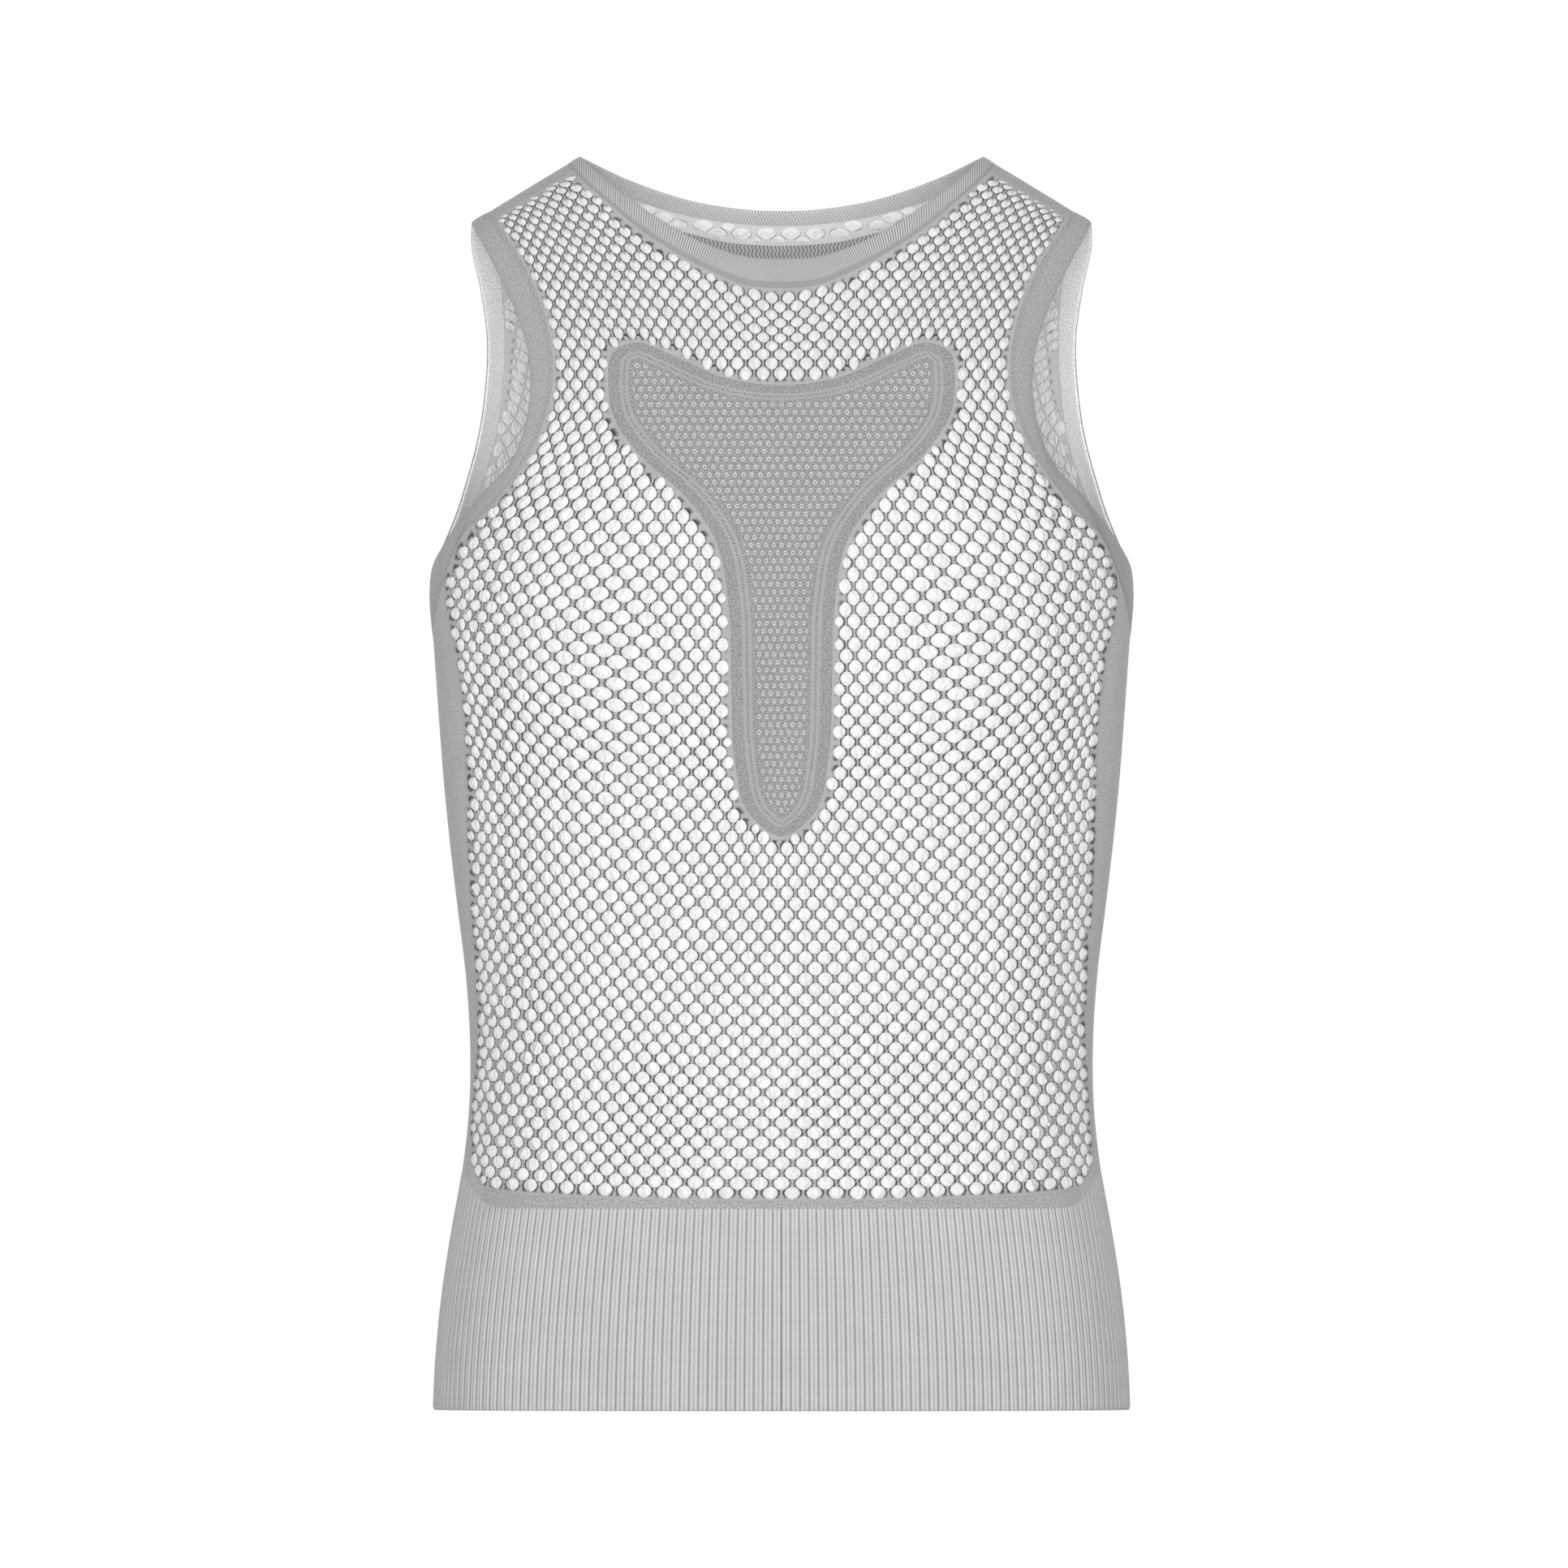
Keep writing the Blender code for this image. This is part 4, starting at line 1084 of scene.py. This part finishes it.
def fitted_cells(loops, back):
    """The cells that fit: site, outline, middle, how each was scaled to clear the edge, and the
    middles of those left out.

    A cell that would cross the edge shrinks towards its own deepest corner until it fits.
    """
    sites = lattice_sites(0)
    du, dv = cell_offsets(CELL_CORNERS)
    outlines = net_place(sites[:, :1] + du, sites[:, 1:] + dv, back)
    middle = net_place(sites[:, 0], sites[:, 1], back)
    free = room(middle, loops)
    keep = free > FAR_FROM_EDGE
    squeeze, anchors = np.ones(len(sites)), middle.copy()
    left = np.flatnonzero(~keep & (free > -FAR_FROM_EDGE / 2))
    corner_room = room(outlines[left].reshape(-1, 2), loops).reshape(len(left), -1)
    anchors[left] = outlines[left, corner_room.argmax(axis=1)]
    for share in SQUEEZES:
        shape = squeezed(outlines[left], anchors[left], share)
        gaps = room(shape.reshape(-1, 2), loops).reshape(len(left), -1).min(axis=1)
        fits = gaps > EDGE_CLEAR * MM
        squeeze[left[fits]] = share
        keep[left[fits]] = True
        left = left[~fits]
    press, spare = (anchors[keep], squeeze[keep]), middle[~keep]
    middle = squeezed(middle[keep][:, None], *press)[:, 0]
    print(int(keep.sum()), "cells,", int((squeeze[keep] < 1).sum()), "of them fitted to an edge")
    return sites[keep], squeezed(outlines[keep], *press), middle, press, spare


# %% [markdown]
# ## The net and its ground
#
# On the real knit each cell is filled by a thin pale ground that swells out between the threads,
# so that from near by the net looks like a bed of pebbles. An alpha mask could fake the cells, but
# it gives no relief and no edge. Here the threads are one wall with a real hole for each cell, and
# the ground is a second cloth inside it, with a dome of three rings and a middle in each hole.

# %% The outline of a net, and its turn to the back
def net_loop(neck_seam, arm_part):
    """Edge of a net as on the front, with the net on its left."""
    neck = neck_seam[NECK_END_STEPS:-NECK_END_STEPS]
    return joined(
        bottom_seam, side_seam[::-1], arm_part[::-1], strip_seam[::-1], neck[::-1],
        to_right(strip_seam), to_right(arm_part), to_right(side_seam),
    )


def turned(spots, triangles, edges, back):
    """The same region on the back, where its faces run the other way round."""
    if not back:
        return spots, triangles, edges
    return to_back(spots), triangles[:, ::-1], [edge[..., ::-1] for edge in edges]


# %% A dome in each cell
GROUND_EDGE, GROUND_BACK = -0.55, -1.00      # heights in mm
DOME_RINGS = (               # corners, scale, roundness, height
    (12, 1.03, CELL_ROUNDNESS, -0.55), (12, 0.87, 1.9, 0.0), (6, 0.50, 2.1, 0.42),
)
DOME_TOP = 0.52
CRUMPLE = 0.09               # mm by which the dome's points stray
LEAN_OUT, LEAN_DOWN = 0.28, 0.12             # how far a dome's crown shifts, in columns and rows
FLANK = (0.68, 0.88)         # shares of the half width between which the shift outwards grows
SHOULDER, HEIGHTS = (40, 90), (-150, -60)    # mm across and of height, for the shift downwards
DOME_GROWTH = 0.6            # a dome that leans out is this much higher


def dome_points(sites, middle, press, back):
    """Points of a dome in each cell: places, heights, rim, cell map and the two leans.

    A smaller cell has a lower dome. Towards the sides and the shoulders the crown shifts away
    from the centre or down, and grows. The cell map runs from -1 to 1 outwards and upwards.
    """
    solid = surface(*middle.T)
    flank = eased(np.abs(solid[:, 0]) / section(solid[:, 2])[0], *FLANK)
    high = eased(solid[:, 2] / MM, *HEIGHTS) * eased(np.abs(solid[:, 0]) / MM, *SHOULDER)
    outwards = np.where(solid[:, :1] < 0, -1.0, 1.0)
    shift = np.stack([outwards[:, 0] * flank * LEAN_OUT, -high * LEAN_DOWN], axis=1)
    growth = press[1] * (1 + DOME_GROWTH * flank)
    spots, heights, local, leans = [], [], [], []
    for corners, scale, roundness, height in DOME_RINGS + ((1, 0.0, 2.0, DOME_TOP),):
        du, dv = cell_offsets(corners, scale, roundness)
        at = sites + shift * min(1, 2 * (DOME_RINGS[0][1] - scale))
        ring = squeezed(net_place(at[:, :1] + du, at[:, 1:] + dv, back), *press)
        spots.append(ring.reshape(-1, 2))
        heights.append(GROUND_EDGE + (height - GROUND_EDGE) * np.repeat(growth, corners))
        both = np.broadcast_arrays(outwards * du / CELL_HALF[0], dv / CELL_HALF[1])
        local.append(np.stack(both, axis=-1).reshape(-1, 2))
        leans.append(np.repeat(np.stack([flank, high], axis=1), corners, axis=0))
    spots, heights, local, leans = (np.concatenate(rows) for rows in (spots, heights, local, leans))
    rim = np.arange(len(spots)) < DOME_RINGS[0][0] * len(sites)
    heights += np.random.default_rng(7).uniform(-CRUMPLE, CRUMPLE, len(rim)) * ~rim
    return spots, heights, rim, local, leans


# %% The knit between the cells
KNOT_CLEAR = 0.5             # mm between a knot and the edge
WIDE_GAP = 1.8               # mm of knit between two cells from which it gets a point of its own
LINE_FADE, LINE_LEAST = 4.0, 0.3             # mm from the edge where the painted shade of the dark line fades, to what
LINE_REACH = 0.95            # corners past this share of the way to a cell's top or foot have none


def gap_points(spots, triangles, holes):
    """Middles of the long edges that run from one cell to another, where a cell was left out."""
    edges = np.concatenate([triangles[:, [0, 1]], triangles[:, [1, 2]], triangles[:, [2, 0]]])
    edges = np.unique(np.sort(edges, axis=1), axis=0)
    edges = edges[(edges[:, 0] >= holes.min()) & (edges[:, 1] <= holes.max())]
    cell = (edges - holes.min()) // CELL_CORNERS
    ends = spots[edges] * (WIDE, 1)
    far = np.linalg.norm(ends[:, 0] - ends[:, 1], axis=1) > WIDE_GAP * MM
    return spots[edges[far & (cell[:, 0] != cell[:, 1])]].mean(axis=1)


def painted_line_shade(spots, loops, holes):
    """How much of the dark line of painted shade each point has: all of it beside a cell, less near
    the edge.
    """
    turn = np.arange(CELL_CORNERS) / CELL_CORNERS * 2 * math.pi
    line = np.zeros(len(spots))
    line[holes[:, ::-1]] = np.abs(np.sin(turn)) < LINE_REACH
    return line * np.clip(room(spots, loops) / LINE_FADE / MM, LINE_LEAST, 1)


# %% Threads and ground, front and back
THREAD_TOP, THREAD_BACK = 0.25, -1.20        # heights in mm
DOME_CLEAR = 0.3             # mm between a dome's points and the edge


def build_net(face, loops, back):
    """Threads with a hole for each cell, and the ground that swells in the holes.

    Where a cell was left out, the knit between its neighbours gets more points, which keep the
    dark line of painted shade to the cells' own edges.
    """
    sites, outlines, middle, press, spare = fitted_cells(loops, back)
    knots = np.concatenate([net_place(*lattice_sites(1).T, back), spare])
    knots = knots[room(knots, loops) > KNOT_CLEAR * MM]
    spots, triangles, edges = fill(loops, knots, outlines)
    more_knots = np.concatenate([knots, gap_points(spots, triangles, edges[-1])])
    spots, triangles, edges = fill(loops, more_knots, outlines)
    line = painted_line_shade(spots, loops, edges[-1])
    spots, triangles, edges = turned(spots, triangles, edges, back)
    threads = cloth_wall(
        f"{face}_net_threads", spots, triangles, edges, THREAD_TOP, THREAD_BACK,
        net_threads, {"cloth": cloth_map(spots)}, {"line": line}, edges,
    )

    domes, heights, rim, local, leans = dome_points(sites, middle, press, back)
    clear = room(domes, loops) > DOME_CLEAR * MM
    spots, triangles, edges = fill(loops, np.concatenate([domes[clear], knots]))
    outer = np.full(len(spots), GROUND_EDGE)
    edge = sum(len(loop) for loop in loops)
    dome_part = slice(edge, edge + clear.sum())
    outer[dome_part] = heights[clear]
    under, under_triangles, _ = fill(loops, np.concatenate([middle, knots]))
    rims, flank, high = np.ones((3, len(spots) + len(under)))
    rims[dome_part] = rim[clear]
    flank[dome_part], high[dome_part] = leans[clear].T
    cells = np.ones((len(rims), 2))
    cells[dome_part] = local[clear]
    spots, triangles, edges = turned(spots, triangles, edges, back)
    under, under_triangles, _ = turned(under, under_triangles, [], back)
    ground = cloth_wall(
        f"{face}_net_ground", spots, triangles, edges, outer, GROUND_BACK,
        net_ground, {"cloth": cloth_map(np.concatenate([spots, under])), "cell": cells},
        {"rim": rims, "lean": flank, "high": high}, lining=(under, under_triangles),
    )
    return threads, ground


underarm = ARM_END_STEPS + ARM_STEPS
front_neck_seam = neck_edges(FRONT_NECK_OPENING, FRONT_NECK_SEAM)[1]
back_neck_seam = neck_edges(BACK_NECK_OPENING, BACK_NECK_SEAM)[1]
front_arm = arm_seam[ARM_END_STEPS:underarm + 1]
back_arm = to_back(arm_seam[::-1])[ARM_END_STEPS:underarm + 1]
chest_loop, spine_loop = zone_loop(CHEST_ZONE), zone_loop(SPINE_ZONE)
front_loop = net_loop(front_neck_seam, front_arm)
back_loop = net_loop(back_neck_seam, back_arm)
front_threads, front_ground = build_net("front", [front_loop, chest_loop], False)
back_threads, back_ground = build_net("back", [back_loop, spine_loop], True)
for threads, ground, cad_node in (
    (front_threads, front_ground, "front_net"), (back_threads, back_ground, "back_net"),
):
    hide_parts(cad_node)

# %% [markdown]
# ## Dense zones with eyelets
#
# Over the breastbone and the spine the knit closes up: rows of tiny eyelets, each ringed by a paler
# rim of painted highlight round a middle of painted shade, and two fine stitched lines inside the
# edge. Bump alone would look painted from close by, so each eyelet is a small ring of points raised
# round a sunken middle. The outline is a plain rounded yoke that runs into a stem.

# %% Where the eyelets lie
EYELET_PITCH = (3.9, 4.6)    # mm across in the stem and in the yoke
EYELET_ROWS = 4.1            # mm from one row to the next
PITCH_FROM, PITCH_FULL = -230.0, -140.0      # heights between which the pitch widens
EYELET_ACROSS = 60           # more columns than fit on either side of the centre line


def eyelet_pitch(z):
    """Pitch across at the heights z in mm, which widens upwards."""
    stem, yoke = EYELET_PITCH
    return stem + (yoke - stem) * eased(z, PITCH_FROM, PITCH_FULL)


def eyelet_map(spots):
    """Eyelet lattice: twice x over the pitch, which widens upwards, and height over the rows."""
    x, _, z = surface(*spots.T).T / MM
    return np.stack([2 * x / eyelet_pitch(z), z / EYELET_ROWS], axis=1)


def eyelet_sites(loop):
    """Middles of the eyelets that lie well inside the loop."""
    low, high = loop[:, 1].min() / MM / EYELET_ROWS, loop[:, 1].max() / MM / EYELET_ROWS
    columns = np.arange(-EYELET_ACROSS, EYELET_ACROSS + 1)
    u, v = np.meshgrid(columns, np.arange(math.floor(low), math.ceil(high)))
    keep = (u + v) % 2 == 0
    u, z = u[keep], v[keep] * EYELET_ROWS
    spots = places(np.stack([u * eyelet_pitch(z) / 2, z], axis=1))
    return spots[room(spots, [loop]) > DOTS_FROM * MM]


# %% Chest and spine zones
EYELET_CORNERS, EYELET_RING = 6, (0.80, 1.05)                 # half width and height of a ring, mm
RADIANS_A_METRE = 1 / 0.158  # angle around for each metre across, near the centre line
ZONE_INSETS = (1.6, 3.2, 4.4, 5.0, 5.6, 6.6, 7.2, 7.8, 8.8)   # rows of points along the edge, mm
INSET_SHARE = 0.96           # a point nearer the edge than this share of its inset is dropped
ZONE_TOP, ZONE_RIM, ZONE_BACK = 0.2, 0.05, -1.2               # heights in mm
RING_TOP, EYELET_BOTTOM = 0.42, -0.35
LINE_TOP, LINE_SPREAD = 0.16, 0.5                             # rise and half width of a line


def build_zone(name, loop, back):
    """Wall of dense knit: offset rings along the edge, then eyelets."""
    flat = loop * (WIDE, 1)
    ahead = np.roll(flat, -1, axis=0) - np.roll(flat, 1, axis=0)
    ahead /= np.linalg.norm(ahead, axis=1, keepdims=True)
    inward = np.stack([-ahead[:, 1], ahead[:, 0]], axis=1)
    bands = [(flat + inward * inset * MM) / (WIDE, 1) for inset in ZONE_INSETS]
    free = [room(band, [loop]) / MM for band in bands]
    bands = [b[r > INSET_SHARE * inset] for b, r, inset in zip(bands, free, ZONE_INSETS)]
    middles = eyelet_sites(loop)
    turn = (np.arange(EYELET_CORNERS) + 0.5) / EYELET_CORNERS * 2 * math.pi
    ring = np.stack([np.cos(turn), np.sin(turn)], axis=1) * EYELET_RING * MM
    rings = middles[:, None] + ring * (RADIANS_A_METRE, 1)
    extra = np.concatenate(bands + [rings.reshape(-1, 2), middles])
    spots, triangles, edges = fill([loop], extra)
    edge = np.maximum(room(spots, [loop]), 0) / MM
    outer = np.full(len(spots), ZONE_TOP)
    for middle in LINE_INSET:
        outer += LINE_TOP * np.exp(-((edge - middle) / LINE_SPREAD) ** 2)
    outer[-len(middles) * (1 + EYELET_CORNERS):] = RING_TOP
    outer[-len(middles):] = EYELET_BOTTOM
    outer[:len(loop)] = ZONE_RIM
    maps = {"cloth": cloth_map(spots), "eyelets": eyelet_map(spots)}
    spots, triangles, edges = turned(spots, triangles, edges, back)
    print(len(middles), "eyelets")
    return cloth_wall(name, spots, triangles, edges, outer, ZONE_BACK, zone_knit, maps,
                      {"edge": edge}, edges)


chest = build_zone("chest_zone_knit", chest_loop, False)
spine = build_zone("spine_zone_knit", spine_loop, True)
for zone, cad_node in ((chest, "chest_zone"), (spine, "spine_zone")):
    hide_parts(cad_node)

# %% [markdown]
# ## Neck and arm bands
#
# The bands are knitted double, so they are thicker than the net and their open edge rolls over. A
# curve with a bevel would make a round cord; a band is a flat strip whose height changes across it.
# So it is a grid between the seam and the open edge, with a profile of heights: a flat border by
# the net, a fine groove, a low crown, and the rolled edge.

# %% Bands round the openings
BAND_ACROSS = (0, 0.03, 0.12, 0.19, 0.22, 0.25, 0.4, 0.6, 0.8, 0.92, 0.98, 1)
BAND_OUTER = (0.15, 0.22, 0.28, 0.28, 0.26, 0.32, 0.45, 0.52, 0.5, 0.34, 0.0, -0.6)
BAND_INNER = (-2.0,) * 9 + (-1.95, -1.8, -1.3)
NECK_FINER = 2               # chords of a neck band for each one of the net beside it

neck_bands, arm_bands = {}, {}
for face, rows in (
    ("front", (FRONT_NECK_OPENING, FRONT_NECK_SEAM)), ("back", (BACK_NECK_OPENING, BACK_NECK_SEAM)),
):
    upper, lower = neck_edges(*rows, finer=NECK_FINER)
    lower, upper = placed((lower, upper), face)
    band = band_wall(f"neck_band_{face}_knit", lower, upper, BAND_ACROSS,
                     BAND_OUTER, BAND_INNER, neck_knit)
    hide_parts(f"neck_band_{face}")
    neck_bands[face] = band

middle = ARM_END_STEPS + ARM_STEPS + UNDERARM_STEPS
for side in ("left", "right"):
    for face, part in (("front", slice(0, middle + 1)), ("back", slice(middle, None))):
        lower, upper = placed((arm_seam[part], arm_rim[part]), side=side)
        band = band_wall(f"arm_band_{side}_{face}_knit", lower, upper, BAND_ACROSS,
                         BAND_OUTER, BAND_INNER, arm_knit)
        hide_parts(f"arm_band_{side}_{face}")
        arm_bands[side, face] = band

# %% [markdown]
# ## Plain panels
#
# Side panels, shoulder strips and the narrow border over the ribs are plain jersey. They are
# regions between lines that exist already, filled with an even grid of triangles, so that the
# surface stays smooth where it turns round the side of the body.

# %% Side panels, shoulder strips, hem borders
PLAIN_TOP, STRIP_TOP, PLAIN_BACK = 0.05, 0.1, -1.4     # heights in mm
PANEL_SPACING, BORDER_SPACING = 0.006, 0.003           # metres between the grid's points


def build_panel(name, loop, spacing, finish):
    """Plain wall over the region inside loop."""
    spots, triangles, edges = fill([loop], staggered([loop], spacing))
    return cloth_wall(name, spots, triangles, edges, PLAIN_TOP, PLAIN_BACK, finish,
                      {"cloth": cloth_map(spots)}, {}, edges)


plain_pieces = {}
front_end = places([BORDER_END])[0, 0]
foot = hem_seam(front_end, math.pi - front_end)
side_loop = joined(
    foot,
    np.array([foot[-1], to_back(side_seam)[-1]]),
    to_back(side_seam)[::-1],
    arm_seam[underarm:len(arm_seam) - underarm][::-1],
    side_seam,
    np.array([side_seam[-1], foot[0]]),
)
strip_rows = 1 - (1 - np.linspace(0, 1, 9)) ** 2       # closer together towards the ridge
for side in ("left", "right"):
    (loop,) = placed((side_loop,), side=side)
    plain_pieces[f"side_panel_{side}"] = build_panel(
        f"side_panel_{side}_knit", loop, PANEL_SPACING, side_knit
    )
    for face in ("front", "back"):
        lower, upper = placed((strip_seam, ridge_line), face, side)
        plain_pieces[f"shoulder_strip_{side}_{face}"] = band_wall(
            f"shoulder_strip_{side}_{face}_knit", lower, upper, strip_rows,
            [STRIP_TOP] * len(strip_rows), [PLAIN_BACK] * len(strip_rows), shoulder_knit, True,
        )
for face, turn in (("front", 0.0), ("back", math.pi)):
    seam = hem_seam(turn - front_end, turn + front_end)
    top = bottom_seam if turn == 0 else to_back(bottom_seam)[::-1]
    loop = joined(seam, np.array([seam[-1], top[-1]]), top[::-1], np.array([top[0], seam[0]]))
    plain_pieces[f"hem_border_{face}"] = build_panel(
        f"hem_border_{face}_knit", loop, BORDER_SPACING, border_knit
    )
for cad_node, piece in plain_pieces.items():
    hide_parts(cad_node)

# %% [markdown]
# ## The ribbed hem
#
# The hem is knitted in ribs, each of two columns of stitches beside a gutter that pulls inwards.
# They grip the waist. A bump map would flatten at the sides of the body, where ribs show most, so
# the ring has eight points for each rib and their heights repeat a small profile.

# %% Ribs all round
RIBS = 192
RIB_PROFILE = (-0.45, -0.12, 0.26, 0.20, 0.02, 0.20, 0.26, -0.12)   # heights over one rib, mm
RIB_ROWS = (0, 0.01, 0.03, 0.1, 0.2, 0.3, 0.4, 0.5, 0.6, 0.7, 0.8, 0.9, 0.96, 0.985, 1)
RIB_LIFT = (0.15, 0.5, 0.9) + (1,) * 10 + (0.9, 0.2)
RIB_INNER, HEM_INNER, HEM_DROP = -2.0, -1.2, 0.5   # mm: inner face, there at the hem, its rounding
COURSE = 1.35                # height of a row of stitches, mm


def build_hem():
    """Ring wall: height over the surface = profile of the rib times the row's lift."""
    steps = RIBS * len(RIB_PROFILE)
    around = rib_angles(steps)
    top = rib_top(around)
    share = np.array(RIB_ROWS)[:, None]
    height = top * (1 - share) + HEM_HEIGHT * MM * share
    spots = np.stack([np.broadcast_to(around, height.shape), height], axis=-1).reshape(-1, 2)
    profile = np.tile(RIB_PROFILE, RIBS)
    outer = profile * np.array(RIB_LIFT)[:, None]
    outer[-1] -= HEM_DROP
    inner = np.full(outer.shape, RIB_INNER)
    inner[-1] = HEM_INNER
    rows = len(RIB_ROWS)
    index = np.arange(rows * steps).reshape(rows, steps)
    right = np.roll(index, -1, axis=1)
    triangles = quads(index[1:], right[1:], right[:-1], index[:-1])
    loops = [index[-1], index[0, ::-1]]
    # The ring closes at the centre front, where both maps jump back within one narrow column.
    ribs = np.arange(steps) / len(RIB_PROFILE)
    maps = {
        "ribs": np.stack([np.broadcast_to(ribs, height.shape), height / MM / COURSE], axis=-1),
        "cloth": np.stack([np.broadcast_to(around * WIDE, height.shape), height], axis=-1),
    }
    maps = {key: uv.reshape(-1, 2) for key, uv in maps.items()}
    side = steps // 4
    length = run_length(np.stack([np.full(rows, around[side]), height[:, side]], axis=1))
    ring = run_length(spots[index[-1, np.arange(steps + 1) % steps]])
    return cloth_wall("hem_rib_knit", spots, triangles, loops, outer.ravel(), inner.ravel(),
                      rib_knit, maps, {}, loops[1:], cut=(ring, length))


hem = build_hem()
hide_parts("hem_rib")

# %% [markdown]
# ## Which cloth each piece is cut from
#
# Each entry of the list holds a piece, the pieces that go with it, and the pieces that it meets.
# Threads and ground are one knit, so the threads go with the ground; the narrow strips by the
# shoulder seams and over the ribs do too.

# %% Sheets
hung = [(hem, [], [plain_pieces[f"hem_border_{face}"] for face in ("front", "back")])]
for face, ground, threads, zone in (
    ("front", front_ground, front_threads, chest), ("back", back_ground, back_threads, spine),
):
    strips = [plain_pieces[f"shoulder_strip_{side}_{face}"] for side in ("left", "right")]
    strips.append(plain_pieces[f"hem_border_{face}"])
    arms = [arm_bands[side, face] for side in ("left", "right")]
    hung.append((ground, [threads] + strips, [neck_bands[face]] + arms))
    hung.append((zone, [], [ground]))
    hung.append((neck_bands[face], [], [ground]))
    hung += [(arm, [], [ground]) for arm in arms]
for side in ("left", "right"):
    hung.append((plain_pieces[f"side_panel_{side}"], [], [arm_bands[side, "front"]]))

# %% [markdown]
# ## Camera, light and floor
#
# The photograph is taken level from the front with a long lens, on white, in very soft light. A
# pale world gives that light from all round, and shows white behind the garment; a broad sun from
# the front adds the fall-off towards the sides and the shoulders, and one from behind does the
# same for the back.

# %% Camera
PHOTO_WIDTH, PIXEL = 1932, 0.4275    # pixels across the photograph, and mm for each at the garment
FRAME_WIDTH = PHOTO_WIDTH * PIXEL * MM
CAMERA_AWAY, CAMERA_ACROSS, CAMERA_HEIGHT = 40.0, 0.0013, -0.3305
camera_data = bpy.data.cameras.new("camera")
camera_data.sensor_width = 36.0
camera_data.lens = camera_data.sensor_width * CAMERA_AWAY / FRAME_WIDTH
camera_data.clip_end = 200.0
camera = bpy.data.objects.new("camera", camera_data)
camera.location = (CAMERA_ACROSS, -CAMERA_AWAY, CAMERA_HEIGHT)
camera.rotation_euler = (math.radians(90), 0, 0)
bpy.context.scene.collection.objects.link(camera)
bpy.context.scene.camera = camera
print("lens %.1f mm" % camera_data.lens)

# %% Light
WORLD_LIGHT, SUN_STRENGTH = 0.66, 2.3
SUN_TILT, SUN_SPREAD = math.radians(86), math.radians(35)     # nearly level, and very soft
world = bpy.data.worlds.new("white_studio")
world.use_nodes = True
background = world.node_tree.nodes["Background"]
background.inputs["Color"].default_value = (1, 1, 1, 1)
path = world.node_tree.nodes.new("ShaderNodeLightPath")
direct = Number(world.node_tree, path.outputs["Is Camera Ray"])
feed(blend(direct, WORLD_LIGHT, 1.0), background.inputs["Strength"])
bpy.context.scene.world = world
for name, turn in (("key", 0), ("back_key", math.pi)):
    light = bpy.data.lights.new(name, "SUN")
    light.energy = SUN_STRENGTH
    light.angle = SUN_SPREAD
    lamp = bpy.data.objects.new(name, light)
    lamp.rotation_euler = (SUN_TILT, 0, turn)
    bpy.context.scene.collection.objects.link(lamp)
bpy.context.scene.view_settings.view_transform = "Standard"
bpy.context.scene.view_settings.look = "None"

# %% Floor
FLOOR_RINGS, FLOOR_STEPS, FLOOR_HEIGHT = (0.5, 1.5, 2.5), 96, -0.9   # radii and height in metres
turn = np.arange(FLOOR_STEPS) / FLOOR_STEPS * 2 * math.pi
reach = np.array(FLOOR_RINGS)[:, None]
low = np.full((len(FLOOR_RINGS), FLOOR_STEPS), FLOOR_HEIGHT)
ring = np.stack([reach * np.cos(turn), reach * np.sin(turn), low], axis=-1)
floor_points = np.concatenate([[[0, 0, FLOOR_HEIGHT]], ring.reshape(-1, 3)])
index = 1 + np.arange(low.size).reshape(low.shape)
right = np.roll(index, -1, axis=1)
fan = np.stack([np.zeros(FLOOR_STEPS, int), index[0], right[0]], axis=1)
floor_faces = np.concatenate([fan, quads(index[:-1], index[1:], right[1:], right[:-1])])
floor_finish, floor_tree = new_finish("pale_floor")
floor_shader = floor_tree.nodes["Principled BSDF"]
floor_shader.inputs["Base Color"].default_value = (0.8, 0.8, 0.8, 1)
floor_shader.inputs["Roughness"].default_value = 0.9
floor_mesh = bpy.data.meshes.new("floor")
floor_mesh.from_pydata(floor_points.tolist(), [], floor_faces.tolist())
floor_mesh.materials.append(floor_finish)
floor = bpy.data.objects.new("floor", floor_mesh)
bpy.context.scene.collection.objects.link(floor)
